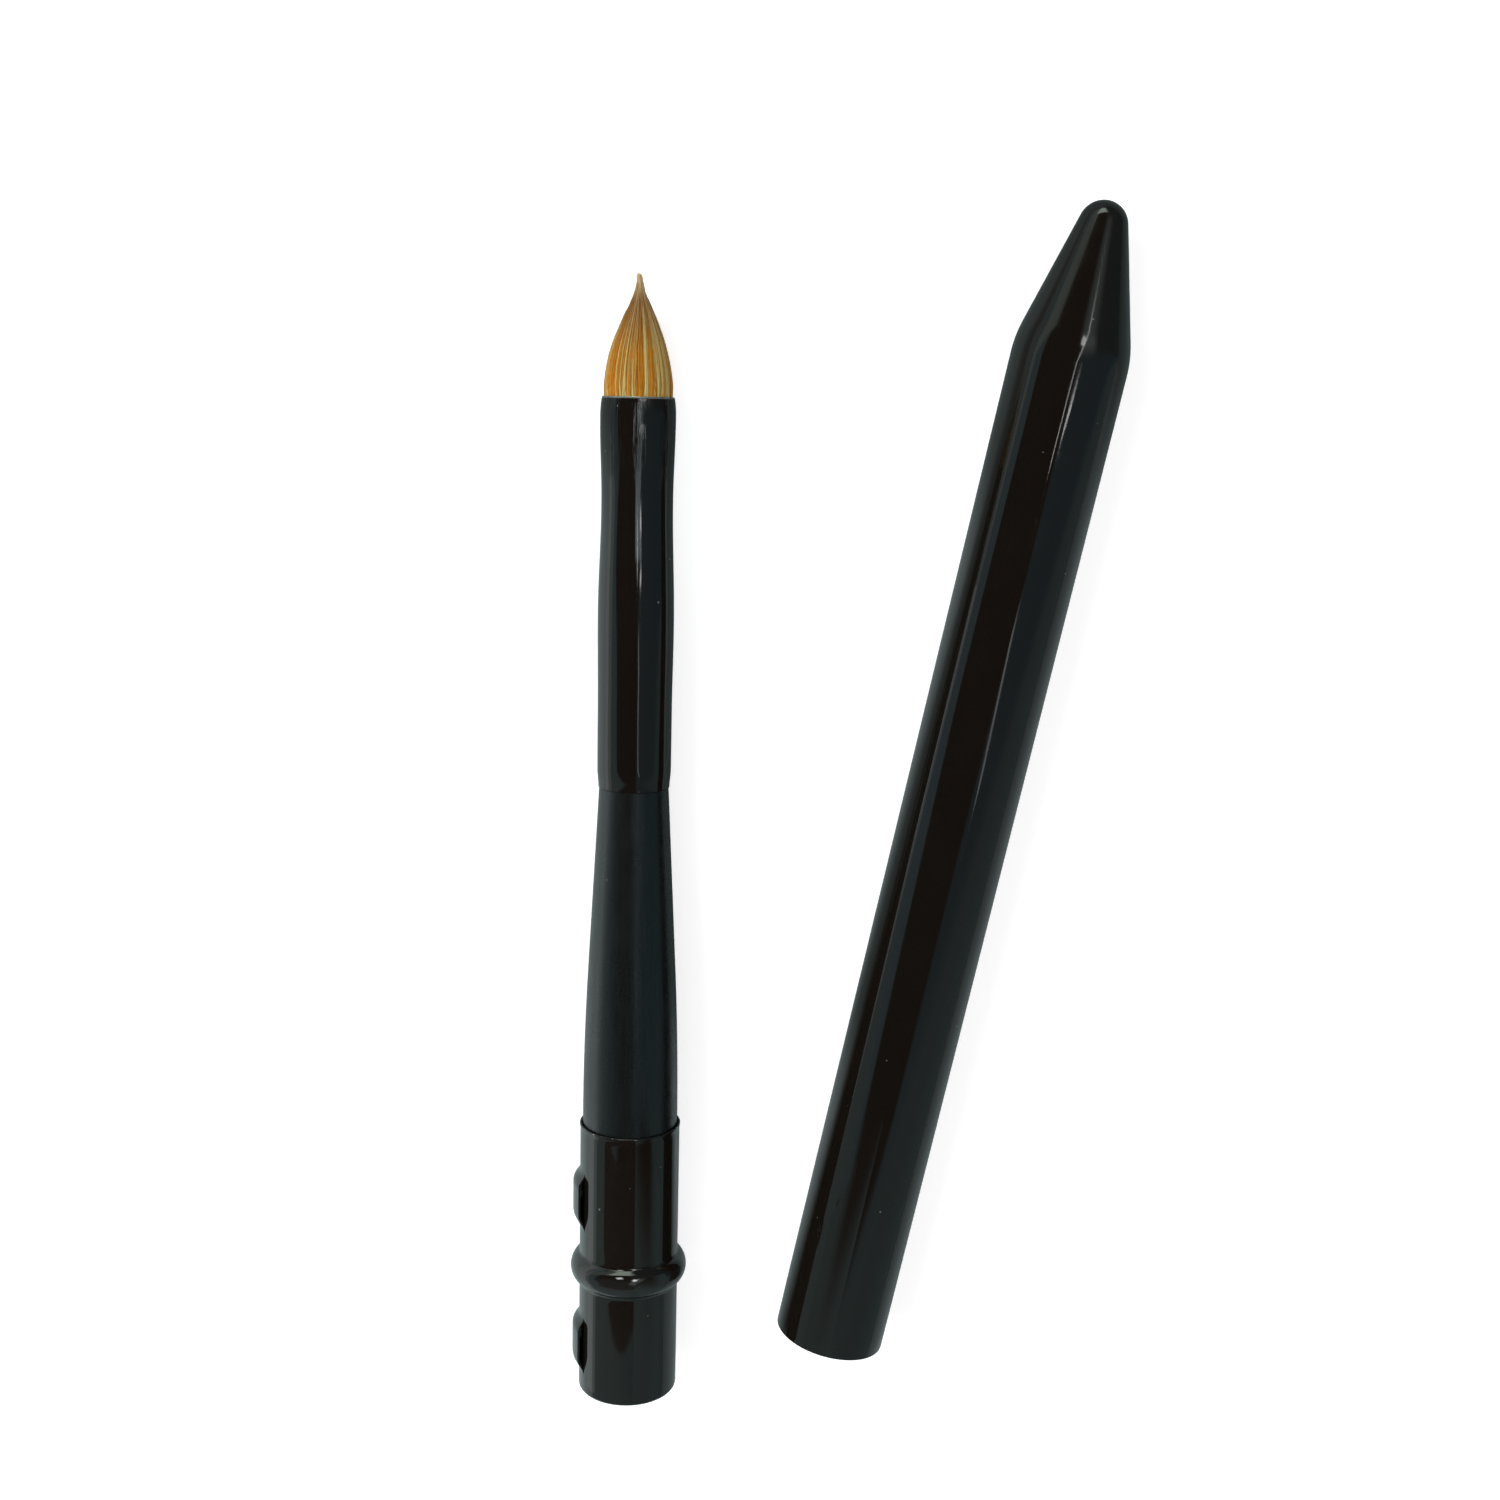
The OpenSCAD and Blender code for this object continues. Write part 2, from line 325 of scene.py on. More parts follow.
class Graph:
    """Adds nodes to a tree and joins them, so that a finish reads as a list of steps."""

    def __init__(self, tree: Tree) -> None:
        """Starts on a tree."""
        self.tree = tree

    def add(self, kind: str, **settings: object) -> Node:
        """Adds a node.

        Args:
            kind: Type of the node.
            settings: Its properties by name.

        Returns:
            The node.
        """
        node = self.tree.nodes.new(kind)
        for name, value in settings.items():
            setattr(node, name, value)
        return node

    def put(self, socket: Socket, value: Input) -> None:
        """Joins a socket to another one, or sets its own value.

        Args:
            socket: Input of a node.
            value: Output that feeds it, or its value.
        """
        if isinstance(value, Socket):
            self.tree.links.new(value, socket)
        else:
            socket.default_value = value

    def fill(self, node: Node, *first: Input, **named: Input) -> Node:
        """Fills inputs of a node.

        Args:
            node: Node to fill.
            first: What to put in its first inputs, in order.
            named: What to put in others, by name with underscores for spaces.

        Returns:
            The node.
        """
        for i, value in enumerate(first):
            self.put(node.inputs[i], value)
        for name, value in named.items():
            self.put(node.inputs[name.replace("_", " ")], value)
        return node

    def math(self, operation: str, *values: Input, clamp: bool = False) -> Socket:
        """Adds a sum of up to three values."""
        node = self.add("ShaderNodeMath", operation=operation, use_clamp=clamp)
        return self.fill(node, *values).outputs[0]

    def times(self, first: Input, *others: Input) -> Socket:
        """Adds the product of two or more values.

        Args:
            first: First factor.
            others: Further factors.

        Returns:
            Socket of the product.
        """
        for other in others:
            first = self.math("MULTIPLY", first, other)
        return first

    def vector(self, operation: str, *values: Input, result: str = "Vector") -> Socket:
        """Adds a sum of vectors."""
        return self.fill(self.add("ShaderNodeVectorMath", operation=operation), *values).outputs[result]

    def span(self, value: Input, low: Input, high: Input, start: Input = 0.0, end: Input = 1.0) -> Socket:
        """Maps a value with a smooth step.

        Args:
            value: Value to map.
            low: Value that gives the start.
            high: Value that gives the end.
            start: Result at the low value.
            end: Result at the high value.

        Returns:
            Socket of the result.
        """
        node = self.add("ShaderNodeMapRange", interpolation_type="SMOOTHSTEP")
        self.fill(node, Value=value, From_Min=low, From_Max=high, To_Min=start, To_Max=end)
        return node.outputs["Result"]

    def noise(self, place: Input, scale: Input, detail: float = 2.0, rough: float = 0.5) -> Socket:
        """Adds a noise, given as a value round a half."""
        node = self.add("ShaderNodeTexNoise")
        return self.fill(node, Vector=place, Scale=scale, Detail=detail, Roughness=rough).outputs["Fac"]

    def blend(self, share: Input, first: Input, second: Input) -> Socket:
        """Mixes two colours.

        Args:
            share: Share of the second colour.
            first: First colour.
            second: Second colour.

        Returns:
            Socket of the mixture.
        """
        node = self.add("ShaderNodeMix", data_type="RGBA")
        self.put(node.inputs["Factor"], share)
        self.put(node.inputs[6], first)
        self.put(node.inputs[7], second)
        return node.outputs[2]

    def ramp(self, value: Input, positions: Sequence[float], colours: Sequence[Colour]) -> Socket:
        """Adds a colour ramp.

        Args:
            value: Value to look up.
            positions: Values of the stops.
            colours: Colours of the stops.

        Returns:
            Socket of the colour.
        """
        node = self.fill(self.add("ShaderNodeValToRGB"), Fac=value)
        elements = node.color_ramp.elements
        while len(elements) < len(positions):
            elements.new(1.0)
        for element, position, colour in zip(elements, positions, colours):
            element.position = position
            element.color = colour
        return node.outputs["Color"]

    def bump(self, height: Input, depth: float) -> Socket:
        """Gives the normal of a relief of a depth in metres."""
        return self.fill(self.add("ShaderNodeBump"), Height=height, Distance=depth).outputs["Normal"]

    def where(self, kind: str = "Object") -> Sequence[Socket]:
        """Gives the x, y and z of one kind of texture place."""
        node = self.add("ShaderNodeSeparateXYZ")
        return self.fill(node, self.add("ShaderNodeTexCoord").outputs[kind]).outputs

    def group(self, made: Tree, **values: Input) -> Sequence[Socket]:
        """Places a node group, fills its inputs and gives its outputs."""
        return self.fill(self.add("ShaderNodeGroup", node_tree=made), **values).outputs


class Effects:
    """Node groups that the finishes share."""

    drawn_out = 0.96
    hair_stops = (0.0, 0.34, 0.58, 0.78, 1.0)
    # Pale hair colours, which also paint the sheen streaks along the clumps.
    pale_and_sheen_hair = ((186, 172, 110), (184, 168, 106), (175, 154, 103), (165, 138, 93), (222, 202, 154))
    deep_hair = ((180, 114, 6), (176, 111, 9), (147, 97, 33), (129, 88, 43), (204, 176, 124))

    def __init__(self) -> None:
        """Builds every group once."""
        self.station = self._station()
        self.film = self._film()
        self.dust = self._dust()
        self.worn_edge_and_glint = self._worn_edge_and_glint()
        self.hair = self._hair()

    @staticmethod
    def _start(
        name: str, inputs: dict[str, str], outputs: dict[str, str]
    ) -> tuple[Tree, Graph, Sequence[Socket], Node]:
        """Opens a group with named sockets.

        Args:
            name: Name of the group.
            inputs: Kind of each input by its name, as in Float, Vector or Color.
            outputs: Kind of each output by its name.

        Returns:
            The group, its graph, the sockets of its inputs and its output node.
        """
        tree = bpy.data.node_groups.new(name, "ShaderNodeTree")
        for side, sockets in (("INPUT", inputs), ("OUTPUT", outputs)):
            for label, kind in sockets.items():
                tree.interface.new_socket(label, in_out=side, socket_type=f"NodeSocket{kind}")
        graph = Graph(tree)
        return tree, graph, graph.add("NodeGroupInput").outputs, graph.add("NodeGroupOutput")

    def _station(self) -> Tree:
        """Builds the group that gives the place on a piece in millimetres, along its axis and drawn out.

        Returns:
            The group.
        """
        tree, g, given, result = self._start(
            "Station along axis",
            dict(Origin="Vector", Along="Vector"),
            dict(Station="Float", Place="Vector", Drawn="Vector"),
        )
        place = g.add("ShaderNodeTexCoord").outputs["Object"]
        off = g.vector("SUBTRACT", g.vector("MULTIPLY", place, (1 / MM,) * 3), given["Origin"])
        station = g.vector("DOT_PRODUCT", off, given["Along"], result="Value")
        back = g.add("ShaderNodeVectorMath", operation="SCALE")
        g.fill(back, Vector=given["Along"], Scale=g.times(station, self.drawn_out))
        g.fill(result, Station=station, Place=off, Drawn=g.vector("SUBTRACT", off, back.outputs[0]))
        return tree

    def _film(self) -> Tree:
        """Builds the group for a film of lacquer: its orange peel, waves, drawing lines and smears.

        Returns:
            The group.
        """
        amounts = dict(Peel="Float", Wave="Float", Lines="Float", Smear="Float")
        tree, g, given, result = self._start(
            "Lacquer film",
            dict(Place="Vector", Drawn="Vector") | amounts,
            dict(Height="Float", Smear="Float"),
        )
        place = given["Place"]
        peel = g.times(g.noise(place, scale=3.2), given["Peel"])
        wave = g.times(g.noise(place, scale=0.32, detail=1.0), given["Wave"])
        lines = g.times(g.noise(given["Drawn"], scale=3.4, detail=3.0, rough=0.6), given["Lines"])
        smear = g.span(g.noise(place, scale=0.22, detail=4.0, rough=0.62), 0.42, 0.72)
        height = g.math("ADD", g.math("ADD", peel, wave), lines)
        g.fill(result, Height=height, Smear=g.times(smear, given["Smear"]))
        return tree

    def _dust(self) -> Tree:
        """Builds the group for specks of dust and pin marks that sit on the film.

        Returns:
            The group.
        """
        tree, g, given, result = self._start(
            "Dust specks", dict(Place="Vector", Scale="Float", Amount="Float"), dict(Mask="Float")
        )
        cells = g.add("ShaderNodeTexVoronoi", feature="F1")
        g.fill(cells, Vector=given["Place"], Scale=given["Scale"])
        chosen = g.fill(g.add("ShaderNodeSeparateColor"), Color=cells.outputs["Color"]).outputs
        kept = g.math("LESS_THAN", chosen[0], given["Amount"])
        size = g.math("MULTIPLY_ADD", chosen[1], 0.10, 0.04)
        g.fill(result, Mask=g.times(kept, g.math("LESS_THAN", cells.outputs["Distance"], size)))
        return tree

    def _worn_edge_and_glint(self) -> Tree:
        """Builds the group for an edge where handling has broken the film down to the metal; the band also
        paints a glint line along the rim.

        Returns:
            The group.
        """
        tree, g, given, result = self._start(
            "Worn edge and glint",
            dict(Place="Vector", Station="Float", Edge="Float", Width="Float", Amount="Float"),
            dict(Mask="Float"),
        )
        off = g.math("ABSOLUTE", g.math("SUBTRACT", given["Station"], given["Edge"]))
        band = g.span(off, 0.0, given["Width"], 1.0, 0.0)
        broken = g.noise(given["Place"], scale=1.7, detail=4.0, rough=0.65)
        least = g.math("SUBTRACT", 0.78, g.times(given["Amount"], 0.4))
        bare = g.span(broken, least, g.math("ADD", least, 0.07))
        g.fill(result, Mask=g.math("MULTIPLY", band, bare, clamp=True))
        return tree

    def _hair(self) -> Tree:
        """Builds the group for the colour of sable hair from its root to its point, from deep amber to a
        pale end that also paints sheen streaks.

        Returns:
            The group.
        """
        tree, g, given, result = self._start(
            "Sable hair", dict(Along="Float", Tone="Float"), dict(Color="Color")
        )
        pale_and_sheen, deep = (
            g.ramp(given["Along"], self.hair_stops, [srgb(*c) for c in colours])
            for colours in (self.pale_and_sheen_hair, self.deep_hair)
        )
        g.fill(result, Color=g.blend(given["Tone"], deep, pale_and_sheen))
        return tree


@dataclass(frozen=True)
class Finish:
    """What every finish of the brush shares: its name, the effects and the piece's axis."""

    name: str
    effects: Effects
    place: Placement

    def shade(self, g: Graph, axis: Sequence[Socket]) -> dict[str, Input]:
        """Builds the steps of the finish.

        Args:
            g: Graph of the material.
            axis: Sockets for the place on the piece.

        Returns:
            Inputs of the Principled shader by name, with underscores for spaces.
        """
        raise NotImplementedError

    def build(self) -> Material:
        """Makes the material.

        Returns:
            The new material.
        """
        made = bpy.data.materials.new(self.name)
        made.use_nodes = True
        g = Graph(made.node_tree)
        axis = g.group(self.effects.station, Origin=self.place.origin, Along=self.place.along)
        g.fill(made.node_tree.nodes["Principled BSDF"], **self.shade(g, axis))
        return made


@dataclass(frozen=True)
class Lacquer(Finish):
    """Black lacquer on drawn metal, mirror bright or dulled along a stretch of the axis."""

    colour: Colour = srgb(20, 16, 13)
    smeared_colour: Colour = srgb(30, 28, 25)
    rubbed_colour: Colour = srgb(26, 25, 23)
    dust_colour: Colour = srgb(120, 124, 118)
    # Bare metal at the worn edge; its lighter band also paints a glint line.
    metal: Colour = srgb(168, 174, 168)
    roughness: float = 0.045
    smear: float = 0.05
    peel: float = 0.5
    wave: float = 0.5
    lines: float = 0.3
    lines_from: float = NOWHERE
    lines_to: float = 2 * NOWHERE
    lines_at_end: float = 0.3
    relief: float = 1.2e-6
    # An edge band worn to the metal, which also paints a glint line along the rim.
    edge_at: float = 0.0
    edge_width: float = 0.12
    edge_wear_and_glint: float = 0.4
    dull_from: float = NOWHERE
    dull_to: float = 2 * NOWHERE
    dull_roughness: float = 0.11
    rubbed_at: float = -NOWHERE
    rubbed_width: float = 1.0
    rubbed_roughness: float = 0.3
    dust_tint: float = 0.5
    dust_roughness: float = 0.4
    worn_and_glint_roughness: float = 0.2
    worn_and_glint_metal: float = 0.8

    def shade(self, g: Graph, axis: Sequence[Socket]) -> dict[str, Input]:
        """Builds the steps of the finish, as in Finish."""
        place, station = axis["Place"], axis["Station"]
        film = g.group(
            self.effects.film,
            Place=place,
            Drawn=axis["Drawn"],
            Peel=self.peel,
            Wave=self.wave,
            Lines=g.span(station, self.lines_from, self.lines_to, self.lines, self.lines_at_end),
            Smear=self.smear,
        )
        dust = g.group(self.effects.dust, Place=place, Scale=1.1, Amount=0.05)["Mask"]
        off = g.math("ABSOLUTE", g.math("SUBTRACT", station, self.rubbed_at))
        rubbed = g.span(off, self.rubbed_width / 2, self.rubbed_width, 1.0, 0.0)
        # Worn edge: partly real wear to the metal, partly a painted glint line along the rim.
        edge = dict(Edge=self.edge_at, Width=self.edge_width, Amount=self.edge_wear_and_glint)
        worn_and_glint = g.group(self.effects.worn_edge_and_glint, Place=place, Station=station, **edge)["Mask"]
        tint = g.blend(film["Smear"], self.colour, self.smeared_colour)
        tint = g.blend(rubbed, tint, self.rubbed_colour)
        tint = g.blend(g.times(dust, self.dust_tint), tint, self.dust_colour)
        rough = g.span(station, self.dull_from, self.dull_to, self.roughness, self.dull_roughness)
        rough = g.math("MULTIPLY_ADD", rubbed, self.rubbed_roughness, rough)
        rough = g.math("MULTIPLY_ADD", dust, self.dust_roughness, g.math("ADD", rough, film["Smear"]))
        return dict(
            Base_Color=g.blend(worn_and_glint, tint, self.metal),
            Roughness=g.math("MULTIPLY_ADD", worn_and_glint, self.worn_and_glint_roughness, rough, clamp=True),
            Metallic=g.times(worn_and_glint, self.worn_and_glint_metal),
            Normal=g.bump(g.math("ADD", film["Height"], dust), self.relief),
            IOR=1.5,
        )


@dataclass(frozen=True)
class SatinPaint(Finish):
    """Satin black paint on turned wood, with the faint grain that shows through it."""

    colour: Colour = srgb(15, 17, 16)
    grain_colour: Colour = srgb(20, 22, 21)
    dust_colour: Colour = srgb(96, 100, 98)
    roughness: float = 0.24
    relief: float = 2.5e-6

    def shade(self, g: Graph, axis: Sequence[Socket]) -> dict[str, Input]:
        """Builds the steps of the finish, as in Finish."""
        place, drawn = axis["Place"], axis["Drawn"]
        grain = g.noise(drawn, scale=5.0, detail=5.0, rough=0.6)
        amounts = dict(Peel=0.6, Wave=0.4, Lines=0.4, Smear=0.08)
        film = g.group(self.effects.film, Place=place, Drawn=drawn, **amounts)
        dust = g.group(self.effects.dust, Place=place, Scale=1.3, Amount=0.04)["Mask"]
        tint = g.blend(g.span(grain, 0.35, 0.7), self.colour, self.grain_colour)
        return dict(
            Base_Color=g.blend(g.times(dust, 0.4), tint, self.dust_colour),
            Roughness=g.math("ADD", g.math("MULTIPLY_ADD", grain, 0.06, film["Smear"]), self.roughness),
            Normal=g.bump(g.math("MULTIPLY_ADD", grain, 0.6, film["Height"]), self.relief),
            IOR=1.48,
        )


@dataclass(frozen=True)
class BareMetal(Finish):
    """Bare drawn aluminium, as it is left inside a lacquered tube."""

    dark: Colour = srgb(128, 128, 126)
    light: Colour = srgb(168, 168, 165)
    relief: float = 3e-6

    def shade(self, g: Graph, axis: Sequence[Socket]) -> dict[str, Input]:
        """Builds the steps of the finish, as in Finish."""
        lines = g.noise(axis["Drawn"], scale=9.0, detail=4.0, rough=0.6)
        return dict(
            Base_Color=g.blend(g.span(lines, 0.3, 0.7), self.dark, self.light),
            Roughness=g.math("MULTIPLY_ADD", lines, 0.2, 0.28),
            Normal=g.bump(lines, self.relief),
            Metallic=1.0,
        )


@dataclass(frozen=True)
class SableHair(Finish):
    """Sable hair, coloured from root to point, with a tone of its own for each strand; the pale tones are
    partly painted sheen streaks.
    """

    root_station: float = 90.6
    length: float = 10.1
    strands: bool = True

    def shade(self, g: Graph, axis: Sequence[Socket]) -> dict[str, Input]:
        """Builds the steps of the finish, as in Finish."""
        if self.strands:
            tone, along = (
                g.add("ShaderNodeAttribute", attribute_name=name).outputs["Fac"]
                for name in ("tone", "share")
            )
        else:
            tone = g.span(g.noise(axis["Drawn"], scale=6.0, detail=3.0), 0.3, 0.8, 0.0, 0.5)
            off = g.math("SUBTRACT", axis["Station"], self.root_station)
            along = g.math("DIVIDE", off, self.length, clamp=True)
        flecks = g.noise(axis["Place"], scale=2.4, detail=3.0)
        shade = g.math("MULTIPLY_ADD", g.math("SUBTRACT", flecks, 0.5), 0.5, tone, clamp=True)
        return dict(
            Base_Color=g.group(self.effects.hair, Along=along, Tone=shade)["Color"],
            Roughness=g.math("MULTIPLY_ADD", flecks, 0.2, 0.34),
            IOR=1.5,
            Specular_IOR_Level=0.25,
        )


@dataclass(frozen=True)
class TyingThread(Finish):
    """Waxed thread with the twist of its plies."""

    dark: Colour = srgb(188, 172, 138)
    light: Colour = srgb(222, 210, 182)
    relief: float = 1.5e-5

    def shade(self, g: Graph, axis: Sequence[Socket]) -> dict[str, Input]:
        """Builds the steps of the finish, as in Finish."""
        wave = g.add("ShaderNodeTexWave", bands_direction="DIAGONAL")
        plies = g.fill(wave, Vector=axis["Place"], Scale=4.0, Distortion=1.5).outputs["Fac"]
        return dict(
            Base_Color=g.blend(plies, self.dark, self.light),
            Roughness=g.math("MULTIPLY_ADD", plies, 0.15, 0.55),
            Normal=g.bump(plies, self.relief),
        )


@dataclass(frozen=True)
class CastResin(Finish):
    """Amber resin that has set in the ferrule, clouded by small bubbles."""

    dark: Colour = srgb(150, 96, 30)
    light: Colour = srgb(196, 146, 66)
    bubble: Colour = srgb(214, 184, 120)

    def shade(self, g: Graph, axis: Sequence[Socket]) -> dict[str, Input]:
        """Builds the steps of the finish, as in Finish."""
        cloud = g.noise(axis["Place"], scale=1.2, detail=4.0, rough=0.6)
        bubbles = g.group(self.effects.dust, Place=axis["Place"], Scale=2.2, Amount=0.3)["Mask"]
        tint = g.blend(g.span(cloud, 0.3, 0.7), self.dark, self.light)
        rough = g.math("MULTIPLY_ADD", cloud, 0.25, 0.12)
        return dict(Base_Color=g.blend(bubbles, tint, self.bubble), Roughness=rough)


def settle(piece: Object, body: Body, slot: str, *nodes: str) -> None:
    """Ties a new piece to the frame.

    Args:
        piece: Object that is in place.
        body: CAD body that it rides on.
        slot: Material slot of the record that it takes its finish from; not used.
        nodes: CAD nodes that it stands for.
    """
    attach(piece, body.value)
    if nodes:
        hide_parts(*nodes)
    log.info("%s: %d faces on %s", piece.name, len(piece.data.polygons), body.value)


@dataclass
class Part:
    """What every turned part shares: the effects of its finishes and where its axis lies."""

    effects: Effects
    place: Placement

    def lacquered(self, shape: Shape, name: str, node: str, body: Body, **looks: float) -> None:
        """Finishes a metal tube with lacquer outside and bare metal in its bore.

        Args:
            shape: Shape with the lacquer as material 0 and the bore as material 1.
            name: Name of the object.
            node: CAD node that it stands for.
            body: CAD body that it rides on.
            looks: Values of the lacquer that differ from the usual.
        """
        lacquer = Lacquer(f"{node}_lacquer", self.effects, self.place, **looks)
        bare = BareMetal(f"{node}_bore_metal", self.effects, self.place)
        settle(shape.piece(name, [lacquer.build(), bare.build()]), body, lacquer.name, node)


@dataclass
class Cap(Part):
    """Drawn tube with a tapered, rounded nose."""

    radius: float = 5.0
    wall: float = 0.4
    length: float = 104.9
    nose_length: float = 12.3
    tip_radius: float = 2.1
    knuckle_radius: float = 10.0
    rim_radius: float = 0.12
    segments: int = 192
    step: float = 1.5

    def __post_init__(self) -> None:
        """Works out the cone of the nose and where its knuckle starts."""
        run = self.nose_length - self.tip_radius
        lean = math.atan2(self.radius, run) - math.asin(self.tip_radius / math.hypot(self.radius, run))
        self.nose_angle = math.degrees(lean)
        self.knuckle_at = self.length - self.nose_length - self.knuckle_radius * math.tan(lean / 2)

    def surface(self, depth: float) -> list[Point]:
        """Gives the line of the nose at a depth below the outside.

        Args:
            depth: Distance below the outside in millimetres.

        Returns:
            Points from the knuckle to the pole.
        """
        knuckle = (self.radius - self.knuckle_radius, self.knuckle_at)
        tip = (0, self.length - self.tip_radius)
        return [
            *arc(knuckle, self.knuckle_radius - depth, 0, self.nose_angle, 16),
            *arc(tip, self.tip_radius - depth, self.nose_angle, 90, 20)[:-1],
            (0.0, self.length - depth),
        ]

    def build(self) -> None:
        """Builds the cap and gives it its finishes."""
        rim = self.rim_radius
        mouth_out = arc((self.radius - rim, rim), rim, -90, 0, 5)
        mouth_in = arc((self.radius - self.wall + rim, rim), rim, 180, 270, 5)
        outside = spaced([*mouth_out, *self.surface(0)], self.step)
        inside = spaced([*reversed(self.surface(self.wall)), *mouth_in], 2 * self.step)
        lip = len(mouth_in)
        slots = [0] * len(outside) + [1] * (len(inside) - lip) + [0] * lip
        shape = turned([*outside, *inside], self.place, self.segments, slots=slots, closed=True)
        looks = dict(edge_wear_and_glint=0.25, dull_from=self.knuckle_at - 1.0, dull_to=self.knuckle_at + 3.0)
        self.lacquered(shape, "cap_tube", "cap", Body.CAP, **looks)


@dataclass
class Collar(Part):
    """Drawn cup with a rolled bead that stops the cap, and two lanced bridges that grip it."""

    radius: float = 4.5
    wall: float = 0.2
    length: float = 25.8
    corner_radius: float = 0.4
    rim_flare: float = 0.06
    rim_length: float = 0.5
    rim_profile: tuple[Point, ...] = ((0.0, 0.0), (0.15, 0.3), (0.5, 0.6), (1.0, 0.88))
    bead_at: float = 12.0
    bead_length: float = 2.8
    bead_top: float = 5.3
    bead_fillet: float = 0.4
    bridge_length: float = 5.7
    bridge_half_angle: float = 30.0
    bridge_turn: float = 4.0
    bridge_height: float = 0.62
    bridge_lead: float = 1.2
    bridge_back: float = 1.8
    bridge_rows: int = 25
    bridge_gaps: dict[Bridge, float] = field(
        default_factory=lambda: {Bridge.FRONT: 3.8, Bridge.REAR: 4.5}
    )
    rows_behind_bead: tuple[float, ...] = (8.1, 8.9, 9.5, 9.9)
    rows_before_bead: tuple[float, ...] = (13.8, 14.3, 14.8)
    rows_behind_rim: tuple[float, ...] = (22.0, 22.8, 23.6, 24.4, 25.0)
    strip_columns: int = 24
    wall_columns: int = 168
    map_gap: float = 1e-3

    def __post_init__(self) -> None:
        """Works out the circles of the bead and its fillets."""
        rise = self.bead_top - self.radius
        self.bead_radius = ((self.bead_length / 2) ** 2 + rise**2) / (2 * rise)
        self.bead_centre = self.bead_top - self.bead_radius
        height = self.radius + self.bead_fillet - self.bead_centre
        self.fillet_off = math.sqrt((self.bead_radius + self.bead_fillet) ** 2 - height**2)
        self.bead_angle = math.degrees(math.atan2(self.fillet_off, height))

    def spans(self) -> dict[Bridge, Point]:
        """Works out where the bridges lie.

        Returns:
            First and last station of each bridge.
        """
        spans = {}
        for side, gap in self.bridge_gaps.items():
            near = self.bead_at + side.value * gap
            spans[side] = tuple(sorted((near, near + side.value * self.bridge_length)))
        return spans

    def rise(self, station: float) -> float:
        """Gives how far the strip is bowed out.

        Args:
            station: Distance from the butt in millimetres.

        Returns:
            Height above the wall, 0 outside the bridges.
        """
        for start, end in self.spans().values():
            if start < station < end:
                back = ease((station - start) / self.bridge_back)
                lead = ease((end - station) / self.bridge_lead)
                return self.bridge_height * min(back, lead)
        return 0.0

    def surface(self, depth: float) -> list[Point]:
        """Gives the line of the cup at a depth below the outside, with a row at each step of a bridge.

        Args:
            depth: Distance below the outside in millimetres.

        Returns:
            Points from the middle of the closed end to the rim.
        """
        rows = {side: np.linspace(*span, self.bridge_rows) for side, span in self.spans().items()}
        radius, fillet, turn = self.radius, self.bead_fillet, self.bead_angle
        corner = (radius - self.corner_radius, self.corner_radius)
        low, high = ((radius + fillet, self.bead_at + off) for off in (-self.fillet_off, self.fillet_off))
        return [
            *[(share * corner[0], depth) for share in (0.0, 0.3, 0.6, 0.9)],
            *arc(corner, self.corner_radius - depth, -90, 0, 12),
            *[(radius - depth, s) for s in (*rows[Bridge.REAR], *self.rows_behind_bead)],
            *arc(low, fillet + depth, 180, 180 - turn, 8),
            *arc((self.bead_centre, self.bead_at), self.bead_radius - depth, -turn, turn, 24)[1:],
            *arc(high, fillet + depth, 180 + turn, 180, 8)[1:],
            *[
                (radius - depth, s)
                for s in (*self.rows_before_bead, *rows[Bridge.FRONT], *self.rows_behind_rim)
            ],
            *[
                (radius + self.rim_flare * flare - depth, self.length - self.rim_length * (1 - share))
                for flare, share in self.rim_profile
            ],
        ]

    def in_bridge(self, start: Point, end: Point) -> bool:
        """Says whether a run of the line lies in a bridge.

        Args:
            start: First point of the run.
            end: Last point of the run.

        Returns:
            True for a run along the wall within a bridge's stations.
        """
        middle = (start[1] + end[1]) / 2
        on_wall = abs(start[0] - end[0]) < TINY
        return on_wall and any(low < middle < high for low, high in self.spans().values())

    def build(self) -> None:
        """Builds the cup with its windows and strips."""
        outside, inside = self.surface(0), self.surface(self.wall)
        lip_radius = self.wall / 2
        lip = arc((outside[-1][0] - lip_radius, outside[-1][1]), lip_radius, 0, 180, 8)[1:-1]
        half = math.radians(self.bridge_half_angle)
        middle = math.pi - math.radians(self.bridge_turn)
        strip = np.linspace(middle - half, middle + half, self.strip_columns + 1)
        rest = np.linspace(middle + half, middle + 2 * math.pi - half, self.wall_columns + 1)[1:-1]
        angles = np.concatenate([strip, rest])
        columns = len(angles)
        line = [*outside, *lip, *reversed(inside)]
        marks = marks_along(line)
        turns = np.concatenate([angles, [angles[0] + 2 * math.pi]])
        turns = (turns - angles[0]) / (2 * math.pi)
        shape = Shape()
        walls: list[list[int]] = []
        strips: list[list[int]] = []
        for radius, station in line:
            walls.append(shape.ring(self.place, radius, angles, station))
            rise = self.rise(station)
            bowed = rise > TINY
            strips.append(shape.ring(self.place, radius + rise, strip, station) if bowed else walls[-1])
        bridged = [self.in_bridge(a, b) for a, b in zip(line, line[1:])]
        for i, bowed in enumerate(bridged):
            hidden = i >= len(outside) + len(lip)
            for j in range(columns):
                lifted = bowed and j < self.strip_columns
                low, high = (strips if lifted else walls)[i : i + 2]
                k = (j + 1) % columns
                slot = 1 if hidden and not lifted else 0
                shape.quad([low[j], low[k], high[k], high[j]], turns[j : j + 2], marks[i : i + 2], slot)
        for i in range(len(outside) - 1):
            if bridged[i]:
                self._window_sides(shape, i, (walls, strips), marks[i : i + 2])
